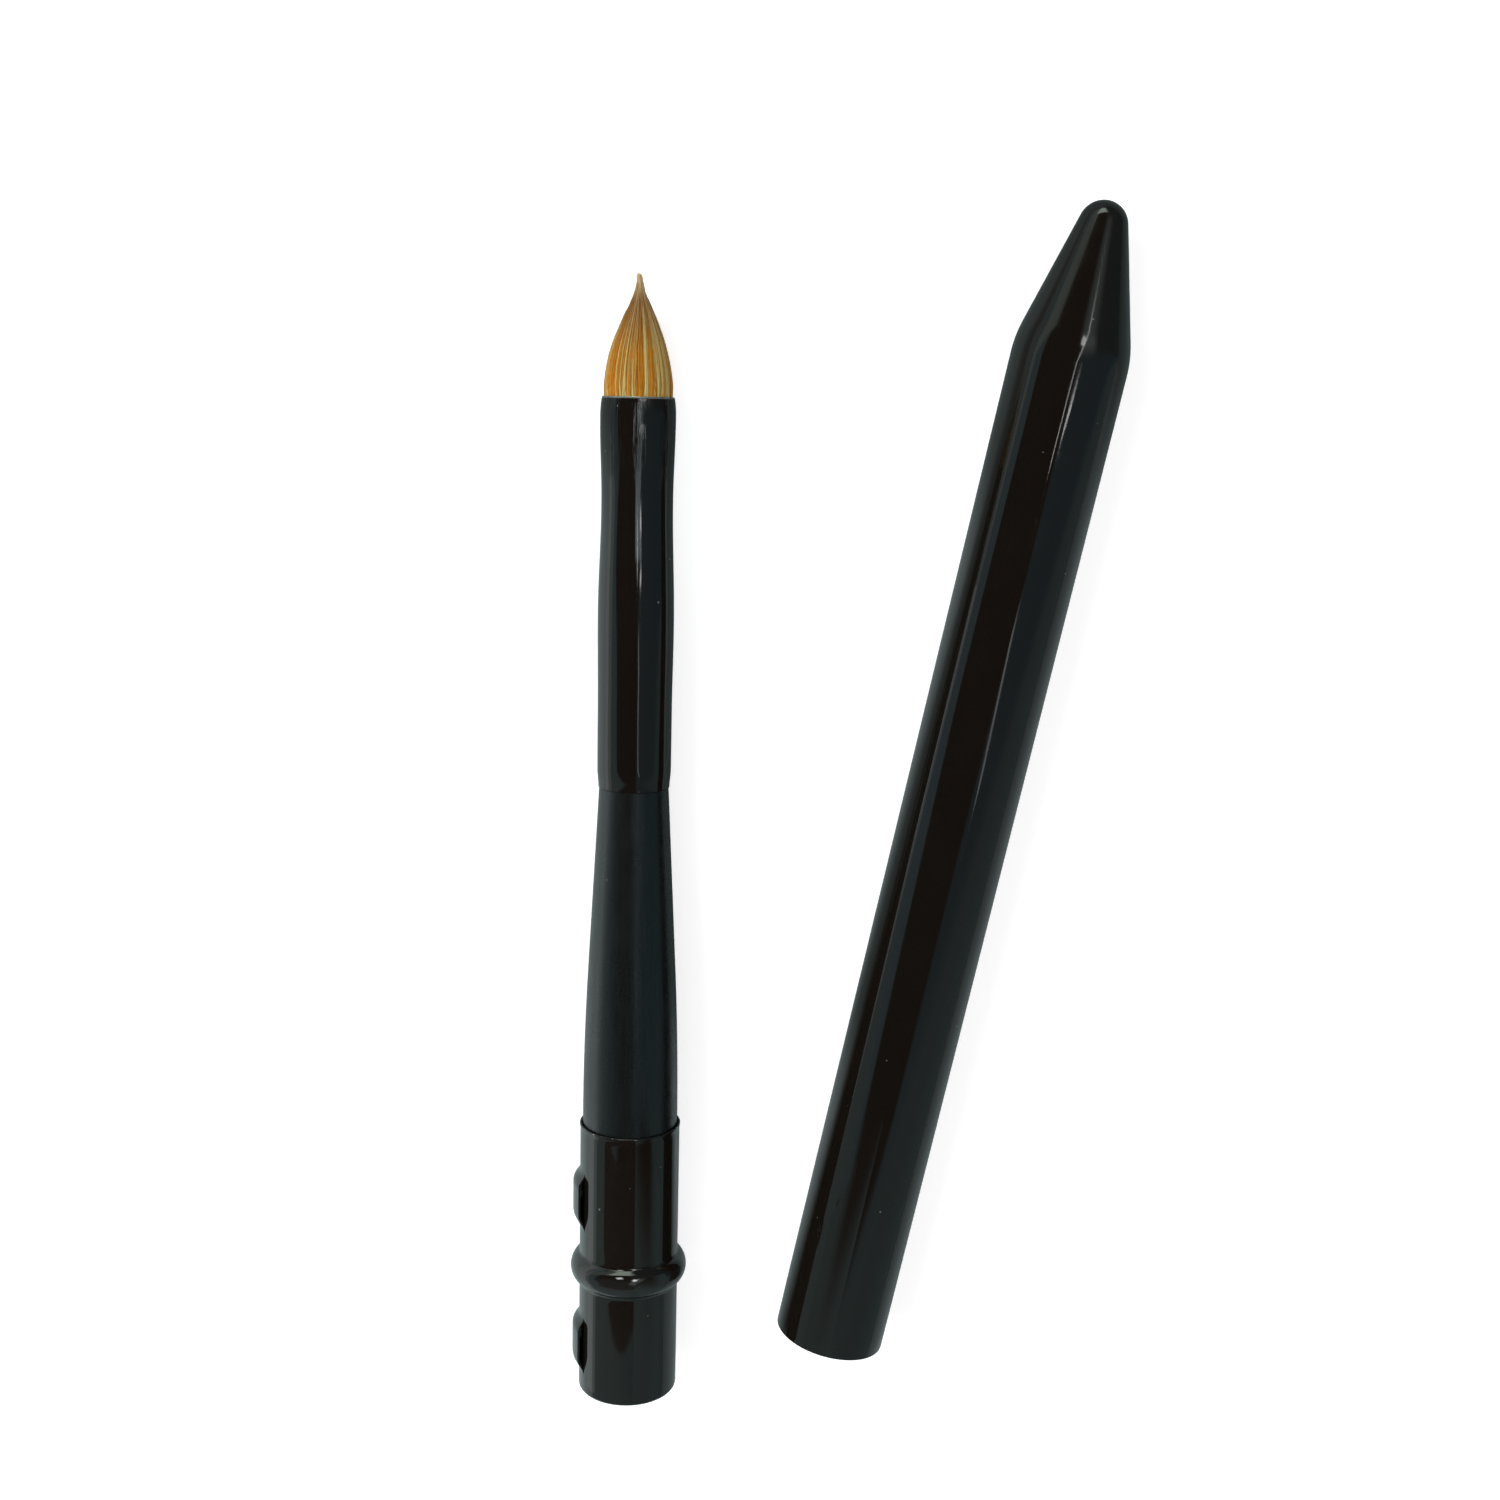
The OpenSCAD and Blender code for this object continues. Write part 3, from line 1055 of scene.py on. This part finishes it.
        # The rim's worn edge also paints a broken glint line along it.
        looks = dict(edge_at=self.length, edge_width=0.1, edge_wear_and_glint=0.5)
        looks |= dict(rubbed_at=self.bead_at, rubbed_width=0.9, rubbed_roughness=0.05)
        self.lacquered(shape, "collar_cup", "collar", Body.BRUSH, **looks)

    def _window_sides(
        self, shape: Shape, row: int, layers: Sequence[list[list[int]]], marks: Sequence[float]
    ) -> None:
        """Closes the cut edges of a window and of its strip along one run of the line.

        Args:
            shape: Shape in the making.
            row: Number of the run.
            layers: Vertices of the wall and of the strips, by point of the line.
            marks: Places of the run's ends on the map.
        """
        for j in (0, self.strip_columns):
            edge = j / self.strip_columns
            places = [(edge, mark) for mark in marks]
            places += [(edge + self.map_gap, mark) for mark in reversed(marks)]
            for rings in layers:
                under = len(rings) - 1 - row
                shape.face([rings[i][j] for i in (row, row + 1, under - 1, under)], places)


@dataclass
class Handle(Part):
    """Turned handle: a spigot that fills the collar, an eased taper and a tenon."""

    collar_length: float = 25.8
    collar_wall: float = 0.2
    corner: float = 0.4
    rear_radius: float = 4.28
    front_radius: float = 3.05
    shown_length: float = 31.1
    ease_radius: float = 280.0
    taper_angle: float = 2.94614
    end_run: float = 0.4
    end_rise: float = 0.02
    end_bevel: float = 0.06
    tenon_radius: float = 2.805
    tenon_length: float = 13.0
    tenon_chamfer: float = 0.4
    segments: int = 160
    step: float = 0.8

    def build(self) -> None:
        """Builds the handle and gives it its finish."""
        front = self.collar_length + self.shown_length
        end = front + self.tenon_length
        eased = (self.rear_radius - self.ease_radius, self.collar_length)
        shown = [
            *arc(eased, self.ease_radius, 0, self.taper_angle, 16),
            (self.front_radius + self.end_rise, front - self.end_run),
            (self.front_radius, front - self.end_bevel),
            (self.front_radius - self.end_bevel, front),
        ]
        line = [
            (0.0, self.collar_wall),
            (self.rear_radius - self.corner, self.collar_wall),
            (self.rear_radius, self.collar_wall + self.corner),
            *spaced(shown, self.step),
            (self.tenon_radius, front),
            (self.tenon_radius, end - self.tenon_chamfer),
            (self.tenon_radius - self.tenon_chamfer, end),
            (0.0, end),
        ]
        paint = SatinPaint("handle_lacquer", self.effects, self.place)
        handle = turned(line, self.place, self.segments).piece("handle_grip", [paint.build()])
        settle(handle, Body.BRUSH, "handle_lacquer", "handle")


@dataclass
class Ferrule(Part):
    """Spun metal tube with a belly, a waist and a rounded lip, crimped to the tenon.

    The swage, the plain run, the belly and the waist are a diameter and a distance from the rear end.
    A lump has a height, a count round the tube, a slope along it and a phase.
    """

    start: float = 56.9
    length: float = 33.7
    wall: float = 0.3
    swage: Point = (6.25, 1.6)
    plain: Point = (6.46, 7.0)
    belly: Point = (6.6, 14.7)
    waist: Point = (6.15, 25.0)
    mouth: float = 6.44
    lip_length: float = 1.8
    lip_drop: float = 0.2
    lip_steps: int = 16
    rear_bevel: float = 0.03
    crimp_length: float = 3.0
    crimp_depth: float = 0.1
    crimp_radius: float = 0.9
    crimp_angle: float = -25.0
    unevenness: float = 0.0072
    lumps: tuple[tuple[float, int, float, float], ...] = ((1.0, 2, 0.22, 0.0), (0.6, 3, -0.5, 1.1))
    even_ends: float = 3.0
    segments: int = 240
    step: float = 0.45
    crimp_stops: tuple[float, ...] = (0.15, 0.3, 0.6, 0.75)

    def __post_init__(self) -> None:
        """Works out where the lip starts."""
        self.lip_at = self.length - self.lip_length

    def radius(self, off: float) -> float:
        """Works out the outside of the tube.

        Args:
            off: Distance from the rear end in millimetres.

        Returns:
            Radius of the outside.
        """
        knots = [
            (self.swage[0], 0.0),
            (self.plain[0], self.swage[1]),
            self.plain,
            self.belly,
            self.waist,
            (self.mouth, self.lip_at),
        ]
        for (low, at), (high, to) in zip(knots, knots[1:]):
            if off <= to:
                return (low + (high - low) * ease((off - at) / (to - at))) / 2
        return self.mouth / 2

    def press(self, radius: np.ndarray, angle: np.ndarray, station: np.ndarray) -> np.ndarray:
        """Presses the crimps in and makes the spun tube slightly uneven.

        Args:
            radius: Radii of a turned ring.
            angle: Angles of its points.
            station: Stations of its points.

        Returns:
            New radii.
        """
        off = station - self.start
        inside = radius < self.radius(float(off[0])) - self.wall / 2
        lumps = sum(
            height * np.sin(count * angle + slope * off + phase)
            for height, count, slope, phase in self.lumps
        )
        fade = np.clip(off / self.even_ends, 0, 1) * np.clip((self.length - off) / self.even_ends, 0, 1)
        made = radius + self.unevenness * lumps * fade
        straight = self.crimp_length - self.crimp_radius
        reach = self.crimp_radius**2 - np.clip(off - straight, 0, self.crimp_radius) ** 2
        axis = self.plain[0] / 2 + self.crimp_radius - self.crimp_depth
        for turn in (0.0, math.pi):
            swing = angle - math.radians(self.crimp_angle) - turn
            under = reach - (axis * np.sin(swing)) ** 2
            hit = (under > 0) & (np.cos(swing) > 0) & (off < self.crimp_length) & ~inside
            pressed = axis * np.cos(swing) - np.sqrt(np.maximum(under, 0))
            made = np.where(hit, np.minimum(made, pressed), made)
        return made

    def build(self) -> None:
        """Builds the ferrule and gives it its finishes."""
        end = self.start + self.length
        stops = [i * self.step for i in range(math.ceil(self.lip_at / self.step))] + [self.lip_at]
        stops = sorted(set(stops) | set(self.crimp_stops))
        outside = [(self.radius(off), self.start + off) for off in stops]
        outside[0] = (outside[0][0] - self.rear_bevel, outside[0][1])
        outside.insert(1, (self.radius(self.rear_bevel), self.start + self.rear_bevel))
        for i in range(1, self.lip_steps + 1):
            turn = math.pi / 2 * i / self.lip_steps
            drop, ahead = self.lip_drop * (1 - math.cos(turn)), self.lip_length * math.sin(turn)
            outside.append((self.mouth / 2 - drop, self.start + self.lip_at + ahead))
        inside = [(self.radius(off) - self.wall, self.start + off) for off in stops[::3]]
        line = [*outside, (self.mouth / 2 - self.wall, end), *reversed(inside)]
        slots = [0] * len(outside) + [1] * (len(inside) + 1)
        shape = turned(line, self.place, self.segments, slots=slots, closed=True, reshape=self.press)
        # The wide, full worn edge at the lip also paints the lip's glint line.
        looks = dict(roughness=0.06, wave=3.0, peel=0.8, edge_at=end, edge_width=0.2, edge_wear_and_glint=1.0)
        looks |= dict(lines=1.2, lines_from=end - 9, lines_to=end - 5, lines_at_end=34.0)
        self.lacquered(shape, "ferrule_tube", "ferrule", Body.BRUSH, **looks)


@dataclass
class Tuft(Part):
    """Tuft of sable hair: a core that fills it and the strands that make its surface."""

    root_at: float = 90.6
    length: float = 10.1
    root_radius: float = 2.90
    fullness: float = 1.15
    swell: float = 1.1
    hollow: float = 0.3
    spill: float = 0.03
    tip_radius: float = 0.25
    tip_end: float = 1.02
    tip_round: float = 0.035
    bend: float = 0.07
    held_length: float = 0.7
    root_length: float = 14.0
    tied_radius: float = 2.4
    tied_length: float = 3.2
    grip_from: float = 5.3
    grip_to: float = 1.8
    waist_radius: float = 2.755
    core_width: float = 0.93
    core_length: float = 0.97
    core_segments: int = 96
    strands: int = 1200
    accents: int = 90
    accent_width: float = 1.35
    clumps: int = 44
    joints: int = 13
    sides: int = 3
    strand_radius: float = 0.062
    strand_widths: Point = (0.75, 1.25)
    strand_depth: float = 0.07
    strand_spread: float = 0.36
    shortening: float = 0.45
    shortening_power: float = 2.2
    pinch: float = 0.45
    wander: float = 0.006
    own_tone: float = 0.18
    strays: float = 0.03
    stray_rise: float = 0.12
    clump_jitter: float = 0.3
    clump_lifts: Point = (0.965, 1.0)
    clump_ends: Point = (0.9, 1.0)
    map_columns: int = 64
    seed: int = 11

    def envelope(self, share: np.ndarray) -> np.ndarray:
        """Works out the outline of the tuft.

        Args:
            share: Shares of the tuft's length.

        Returns:
            Radius at each share in millimetres.
        """
        point = self.tip_radius * np.sqrt(np.clip((self.tip_end - share) / self.tip_round, 0, 1))
        share = np.clip(share, 0, 1)
        level = np.maximum(np.cos(math.pi / 2 * share**self.swell), 0)
        spilt = 1 + self.spill * np.clip(share / 0.05, 0, 1)
        radius = self.root_radius * spilt * level ** (self.fullness + self.hollow * share**2)
        return np.maximum(point, radius)

    def lean(self, share: np.ndarray) -> np.ndarray:
        """Gives how far the middle of the tuft stands aside, in millimetres."""
        share = np.clip(share, 0, 1)
        return self.bend * np.sin(2 * math.pi * (share - 0.45)) * share

    def core(self) -> None:
        """Builds the bundle that fills the tuft and its root in the ferrule."""
        start, length = self.root_at - self.root_length, self.length * self.core_length
        shares = np.linspace(0, 1, 29)[:-1]
        line = [
            (0.0, start),
            (self.tied_radius, start),
            (self.tied_radius, start + self.tied_length),
            (self.waist_radius, start + self.grip_from),
            (self.root_radius * 0.99, self.root_at - self.grip_to),
            *[
                (float(r) * self.core_width, self.root_at + length * float(t))
                for t, r in zip(shares, self.envelope(shares))
            ],
            (0.0, self.root_at + length),
        ]
        hair = SableHair("sable_core", self.effects, self.place, strands=False)
        core = turned(line, self.place, self.core_segments).piece("tuft_core", [hair.build()])
        settle(core, Body.BRUSH, "sable_hair", "hair_tuft")

    def hairs(self) -> None:
        """Builds the strands that lie in clumps round the core and meet at the point."""
        draw = np.random.default_rng(self.seed)
        jitter = draw.uniform(-self.clump_jitter, self.clump_jitter, self.clumps)
        clump_angle = (np.arange(self.clumps) + jitter) / self.clumps
        swing = draw.choice([-1, 0.2, 1], self.clumps) * draw.uniform(0.5, 1, self.clumps)
        # Each clump's tone is partly its own colour; the pale clumps are painted sheen streaks.
        clump_tone_and_sheen = np.clip(0.45 + 0.55 * swing, 0, 1)
        clump_lift = draw.uniform(*self.clump_lifts, self.clumps)
        clump_end = draw.uniform(*self.clump_ends, self.clumps)
        across, down = np.array(self.place.across), np.array(self.place.down)
        shape = Shape()
        shares: list[float] = []
        tones: list[float] = []
        steps = np.linspace(0, 1, self.joints)
        held = self.held_length / self.length
        for i in range(self.strands + self.accents):
            clump = i % self.clumps
            accent = i >= self.strands
            depth = 1.0 if accent else 1.0 - abs(draw.normal(0, self.strand_depth))
            width = self.accent_width if accent else draw.uniform(*self.strand_widths)
            width = self.strand_radius * width
            short = self.shortening * draw.random() ** self.shortening_power
            end = self.tip_end * clump_end[clump] * (1 - short)
            share = -held + (end + held) * steps
            taper = np.clip(1.02 - steps, 0.2, 1) ** 0.45
            spread = draw.uniform(-0.5, 0.5) if accent else draw.normal(0, self.strand_spread)
            spread = spread / self.clumps
            pinch = 1 - self.pinch * np.clip(share, 0, 1)
            wander = draw.normal(0, self.wander) * np.sin(math.pi * steps)
            angle = 2 * math.pi * (clump_angle[clump] + spread * pinch + wander)
            reach = np.maximum(self.envelope(share) - width * taper, 0.02)
            lift = 1 - (1 - clump_lift[clump]) * np.clip(share * 3, 0, 1)
            radius = reach * depth * lift
            if draw.random() < self.strays:
                radius = radius + self.stray_rise * draw.random() * steps**3
            centre = self.place.at(radius, angle, self.root_at + self.length * share)
            centre = centre + np.outer(self.lean(share), across) * MM
            cosine, sine = np.cos(angle)[:, None], np.sin(angle)[:, None]
            outward, around = cosine * across + sine * down, -sine * across + cosine * down
            twist = draw.uniform(0, 2 * math.pi)
            tone = (1 - self.own_tone) * clump_tone_and_sheen[clump] + self.own_tone * draw.random()
            # An accent strand is deep amber or pale; the pale ones are painted sheen streaks.
            if accent:
                tone = draw.choice([0.0, 0.0, 1.0])
            first = len(shape.vertices)
            for side in range(self.sides):
                turn = twist + 2 * math.pi * side / self.sides
                reached = math.cos(turn) * outward + math.sin(turn) * around
                shape.vertices.extend(centre + reached * (width * taper * MM)[:, None])
            shares += list(np.clip(np.tile(share, self.sides), 0, 1))
            tones += [float(np.clip(tone, 0, 1))] * (self.sides * self.joints)
            self._strand_faces(shape, first, i)
        hair = SableHair("sable_hair", self.effects, self.place)
        made = shape.piece("tuft_hairs", [hair.build()])
        for name, values in (("share", shares), ("tone", tones)):
            attribute = made.data.attributes.new(name, "FLOAT", "POINT")
            attribute.data.foreach_set("value", np.array(values, np.float32))
        settle(made, Body.BRUSH, "sable_hair", "hair_tuft")

    def _strand_faces(self, shape: Shape, first: int, number: int) -> None:
        """Adds the faces of one strand, laid out in its own cell of the map.

        Args:
            shape: Shape in the making.
            first: Number of the strand's first vertex.
            number: Number of the strand.
        """
        sides, count = self.sides, self.joints
        rows = math.ceil((self.strands + self.accents) / self.map_columns)
        left, wide = (number % self.map_columns) / self.map_columns, 1 / self.map_columns
        low, high = (number // self.map_columns) / rows, 1 / rows
        wides = [left + wide * (0.1 + 0.8 * side / sides) for side in range(sides + 1)]
        highs = [low + high * (0.06 + 0.88 * step / (count - 1)) for step in range(count)]
        for side in range(sides):
            one, other = first + side * count, first + (side + 1) % sides * count
            for step in range(count - 1):
                corners = [one + step, other + step, other + step + 1, one + step + 1]
                shape.quad(corners, wides[side : side + 2], highs[step : step + 2])
        for step, lift in ((0, -0.03), (count - 1, 0.03)):
            level = highs[step]
            places = [(left + 0.1 * wide, level), (left + 0.9 * wide, level)]
            places.append((left + 0.5 * wide, level + lift * high))
            shape.face([first + side * count + step for side in range(sides)], places)

    def build(self) -> None:
        """Builds the core and the strands, and finishes the tie and the resin of the root."""
        self.core()
        self.hairs()
        for node, finish in (
            ("root_thread", TyingThread("binding_thread", self.effects, self.place)),
            ("root_resin", CastResin("root_resin", self.effects, self.place)),
        ):
            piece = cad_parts[node]
            piece.data.materials.clear()
            piece.data.materials.append(finish.build())
            log.info("%s: finished as %s", node, finish.name)


@dataclass(frozen=True)
class Lamp:
    """Soft lamp: where it hangs and what it faces, in metres, its size, watts, beam and colour."""

    name: str
    spot: Triple
    size: Point
    watts: float
    mirrored: bool = True
    aim: Triple = (0.0, 0.0, 0.0)
    beam: float = 180.0
    colour: Triple = (1.0, 1.0, 1.0)

    def hang(self) -> None:
        """Hangs the lamp, which gloss shows only if it is mirrored."""
        data = bpy.data.lights.new(self.name, "AREA")
        data.shape = "RECTANGLE"
        data.size, data.size_y = self.size
        data.energy = self.watts
        data.spread = math.radians(self.beam)
        data.color = self.colour
        made = bpy.data.objects.new(self.name, data)
        made.location = self.spot
        made.rotation_mode = "QUATERNION"
        made.rotation_quaternion = (Vector(self.aim) - Vector(self.spot)).to_track_quat("-Z", "Y")
        made.visible_camera = False
        made.visible_glossy = self.mirrored
        bpy.context.scene.collection.objects.link(made)


BEAD_TOP: Triple = (-0.0188, -0.0408, 0.0103)
FERRULE_TOP: Triple = (-0.0155, 0.034, 0.009)
CARD_AIM: Triple = (0.0, -0.02, 0.006)
COOL: Triple = (0.82, 0.96, 1.0)

# A key from the left and a fill overhead, then lamps that the lacquer mirrors.
LAMPS = (
    Lamp("key_softbox", (-0.55, 0.2, 0.65), (0.45, 0.45), 5.4, mirrored=False),
    Lamp("fill_softbox", (0.1, -0.1, 0.9), (0.8, 0.8), 2.4, mirrored=False),
    Lamp("ceiling_strip", (0.2, 0.325, 1.05), (0.022, 0.77), 0.42),
    Lamp("ceiling_strip_end", (0.2, -0.18, 1.05), (0.03, 0.24), 0.04),
    Lamp("ceiling_strip_bright", (0.2, 0.02, 1.04), (0.022, 0.08), 0.05),
    Lamp("ceiling_spot", (0.211, 0.479, 1.05), (0.14, 0.18), 0.5),
    Lamp("bead_spot_left", (-0.0402, 0.0095, 0.0687), (0.018, 0.016), 0.00018, aim=BEAD_TOP, beam=24.0),
    Lamp("bead_spot_right", (-0.0019, -0.0041, 0.0797), (0.012, 0.016), 0.0001, aim=BEAD_TOP, beam=24.0),
    Lamp("ferrule_panel", (-0.0155, 0.036, 0.05), (0.013, 0.024), 0.00012, True, FERRULE_TOP, 44.0, COOL),
    Lamp("side_card", (-0.046, -0.02, 0.006), (0.096, 0.012), 0.0014, aim=CARD_AIM),
)


@dataclass
class Studio:
    """Pale floor, soft lamps, the room that the lacquer mirrors, and the camera."""

    eye: Vector = field(default_factory=lambda: Vector((-18.95, 40.84, 164.7)) * MM)
    tilt: Triple = (-12.07, -3.85, 0.60)
    focal_px: float = 1871.0
    floor_side: float = 6.0
    paper: Colour = (0.8, 0.8, 0.8, 1)
    mirrored_paper: Colour = (0.72, 0.88, 0.87, 1)
    mirrored_shade: Colour = (0.1, 0.14, 0.14, 1)
    screen_grey: Colour = (0.22, 0.34, 0.35, 1)
    lift: float = 0.6
    ambient: float = 0.2
    flag_mm: tuple[Point, ...] = ((-108, -85), (-6, -71), (-6, -46), (-108, -63))
    flag_height_mm: float = 60
    screen_at_mm: float = -6
    screen_mm: tuple[Point, ...] = (
        (-90, 11), (-37, 11), (-33, 18), (-32, 26), (-36, 40), (-44, 60), (-90, 60)
    )

    def floor(self) -> None:
        """Lays the floor, which keeps the shadow and shows white."""
        half = self.floor_side / 2
        mesh = bpy.data.meshes.new("studio_floor")
        corners = [(-half, -half, 0), (half, -half, 0), (half, half, 0), (-half, half, 0)]
        mesh.from_pydata(corners, [], [(0, 1, 2, 3)])
        made = bpy.data.objects.new("studio_floor", mesh)
        bpy.context.scene.collection.objects.link(made)
        paper = bpy.data.materials.new("studio_paper")
        paper.use_nodes = True
        paper.node_tree.nodes.clear()
        g = Graph(paper.node_tree)
        seen = g.add("ShaderNodeLightPath").outputs
        colour = g.blend(seen["Is Glossy Ray"], self.paper, self._mirrored_floor(g))
        matte = g.fill(g.add("ShaderNodeBsdfDiffuse"), Color=colour)
        spot = g.add("ShaderNodeTexCoord").outputs["Object"]
        lift = g.span(g.vector("DISTANCE", spot, (0, 0, 0), result="Value"), 0.15, 0.4, self.lift, 1.0)
        glow = g.fill(g.add("ShaderNodeEmission"), Strength=g.times(seen["Is Camera Ray"], lift))
        both = g.fill(g.add("ShaderNodeAddShader"), matte.outputs[0], glow.outputs[0])
        g.fill(g.add("ShaderNodeOutputMaterial"), Surface=both.outputs[0])
        mesh.materials.append(paper)

    def _mirrored_floor(self, g: Graph) -> Socket:
        """Gives the floor's colour in gloss: in shade by the brush, by the cap, between and ahead of them.

        Args:
            g: Graph of the floor's material.

        Returns:
            Socket of the colour.
        """
        x, y, _ = g.where()
        left_of_cap = g.math("SUBTRACT", 0.0104, g.math("MULTIPLY_ADD", y, -0.194, x))
        right_of_brush = g.math("ADD", x, 0.018)
        after_brush = g.span(right_of_brush, 0.0, 0.003)
        before_cap = g.span(right_of_brush, 0.014, 0.024, 1.0, 0.0)
        shaded = g.times(after_brush, before_cap, g.span(y, -0.03, -0.016, 0.0, 0.85))
        by_cap = g.span(left_of_cap, 0.005, 0.015, 0.42, 1.0)
        by_brush = g.span(g.math("ABSOLUTE", right_of_brush), 0.004, 0.014, 0.5, 1.0)
        ahead = g.span(y, 0.022, 0.036, 1.0, 0.3)
        lit = g.times(by_cap, by_brush, ahead, g.math("SUBTRACT", 1.0, shaded))
        return g.blend(lit, self.mirrored_shade, self.mirrored_paper)

    def hang(self, name: str, corners: Sequence[Triple], colour: Colour) -> Object:
        """Hangs a plain board that only gloss shows.

        Args:
            name: Name of the board.
            corners: Its corners in millimetres.
            colour: Colour that gloss sees.

        Returns:
            The board.
        """
        mesh = bpy.data.meshes.new(name)
        spots = [[value * MM for value in corner] for corner in corners]
        mesh.from_pydata(spots, [], [tuple(range(len(spots)))])
        cloth = bpy.data.materials.new(f"{name}_cloth")
        cloth.use_nodes = True
        cloth.cycles.emission_sampling = "NONE"
        g, shader = Graph(cloth.node_tree), cloth.node_tree.nodes["Principled BSDF"]
        g.fill(shader, Base_Color=BLACK, Emission_Color=colour, Emission_Strength=1.0)
        mesh.materials.append(cloth)
        made = bpy.data.objects.new(name, mesh)
        made.visible_camera = made.visible_diffuse = False
        made.visible_shadow = made.visible_transmission = False
        bpy.context.scene.collection.objects.link(made)
        return made

    def boards(self) -> None:
        """Hangs a black flag over the collar, and a grey screen that keeps it out of the cap's gloss.

        The screen fades to black at its upper front edge.
        """
        self.hang("black_flag", [(*spot, self.flag_height_mm) for spot in self.flag_mm], BLACK)
        corners = [(self.screen_at_mm, *spot) for spot in self.screen_mm]
        tree = self.hang("grey_screen", corners, self.screen_grey).data.materials[0].node_tree
        g = Graph(tree)
        _, y, z = g.where()
        faded = g.times(g.span(y, -0.056, -0.036), g.span(z, 0.013, 0.02))
        g.fill(tree.nodes["Principled BSDF"], Emission_Color=g.blend(faded, self.screen_grey, BLACK))

    def room(self) -> None:
        """Builds the world: a cool room with a dark ceiling, which only gloss shows, in an even grey."""
        world = bpy.data.worlds.new("studio_room")
        bpy.context.scene.world = world
        world.use_nodes = True
        world.node_tree.nodes.clear()
        g = Graph(world.node_tree)
        seen = g.add("ShaderNodeLightPath").outputs
        colour = g.blend(seen["Is Glossy Ray"], (self.ambient,) * 3 + (1,), self._mirrored(g))
        lit = g.fill(g.add("ShaderNodeBackground"), Color=colour).outputs[0]
        plain = g.fill(g.add("ShaderNodeBackground"), Color=(1, 1, 1, 1)).outputs[0]
        mixed = g.fill(g.add("ShaderNodeMixShader"), seen["Is Camera Ray"], lit, plain)
        g.fill(g.add("ShaderNodeOutputWorld"), Surface=mixed.outputs[0])

    def _mirrored(self, g: Graph) -> Socket:
        """Gives the colour of the room by direction, laid out as a plan of its ceiling.

        Args:
            g: Graph of the world.

        Returns:
            Socket of the colour.
        """
        x, y, z = g.where("Generated")
        up = g.math("MAXIMUM", z, 0.02)
        across, ahead = g.math("DIVIDE", x, up), g.math("DIVIDE", y, up)
        aside = g.math("ABSOLUTE", g.math("ADD", across, 0.3))
        corner = g.math("MAXIMUM", g.math("SUBTRACT", -1.3, across), 0.0)
        near_edge = g.math("MULTIPLY_ADD", corner, 0.2, g.math("MULTIPLY_ADD", aside, 0.12, -0.485))
        left_edge = g.math("MULTIPLY_ADD", g.math("MAXIMUM", ahead, 0.0), 0.55, -2.8)
        near = g.span(g.math("SUBTRACT", ahead, near_edge), -0.04, 0.05)
        left = g.span(g.math("SUBTRACT", across, left_edge), -0.15, 0.1)
        right = g.span(across, 0.05, 0.17, 1.0, 0.0)
        far = g.span(ahead, 1.4, 1.7, 1.0, 0.0)
        dark = g.times(g.times(left, right), g.times(near, far))
        right_wall = g.blend(g.span(ahead, 0.0, 0.4), (0.08, 0.18, 0.23, 1), (0.05, 0.1, 0.11, 1))
        walls = g.blend(g.span(across, -2.5, 0.3), (0.24, 0.41, 0.48, 1), right_wall)
        near_wall = g.blend(g.span(across, -0.5, 0.6), (0.27, 0.4, 0.41, 1), (0.19, 0.3, 0.31, 1))
        nearer = g.blend(g.span(ahead, -0.6, -0.3, 1.0, 0.0), walls, near_wall)
        off_patch = g.math("ABSOLUTE", g.math("SUBTRACT", across, 0.42))
        patch_run = g.times(g.span(ahead, 0.04, 0.4), g.span(ahead, 0.35, 1.0, 1.0, 0.0))
        patch = g.times(g.span(off_patch, 0.05, 0.5, 1.0, 0.0), patch_run)
        patched = g.blend(patch, nearer, (0.7, 0.84, 0.82, 1))
        sill = g.times(g.span(ahead, 1.5, 1.75), g.span(ahead, 5.0, 8.0, 1.0, 0.0))
        window = g.times(sill, g.span(across, 0.0, 0.5, 1.0, 0.0))
        pane = g.blend(g.span(across, -1.6, -0.9), (0.6, 0.72, 0.66, 1), (3.6, 4.2, 3.6, 1))
        bright = g.blend(window, patched, pane)
        return g.blend(dark, bright, (0.004, 0.004, 0.004, 1))

    def camera(self) -> None:
        """Sets the camera at the photograph's angle."""
        data = bpy.data.cameras.new("photo_camera")
        data.sensor_width = SENSOR_MM
        data.lens = self.focal_px / IMAGE_SIDE * SENSOR_MM
        data.clip_start, data.clip_end = 0.005, 20.0
        made = bpy.data.objects.new("photo_camera", data)
        pitch, yaw, roll = (math.radians(a) for a in self.tilt)
        turn = Matrix.Rotation(pitch, 4, "X") @ Matrix.Rotation(yaw, 4, "Y")
        made.matrix_world = Matrix.Translation(self.eye) @ turn @ Matrix.Rotation(roll, 4, "Z")
        bpy.context.scene.collection.objects.link(made)
        bpy.context.scene.camera = made

    def build(self) -> None:
        """Builds the whole studio."""
        self.camera()
        self.floor()
        self.boards()
        self.room()
        for lamp in LAMPS:
            lamp.hang()
        bpy.context.scene.view_settings.view_transform = "Standard"


def main() -> None:
    """Builds every piece and the studio, in order."""
    logging.basicConfig(level=logging.INFO, format="%(name)s: %(message)s")
    effects = Effects()
    Cap(effects, CAP_PLACE).build()
    for part in (Collar, Handle, Ferrule, Tuft):
        part(effects, BRUSH_PLACE).build()
    Studio().build()


if __name__ == "__main__":
    main()
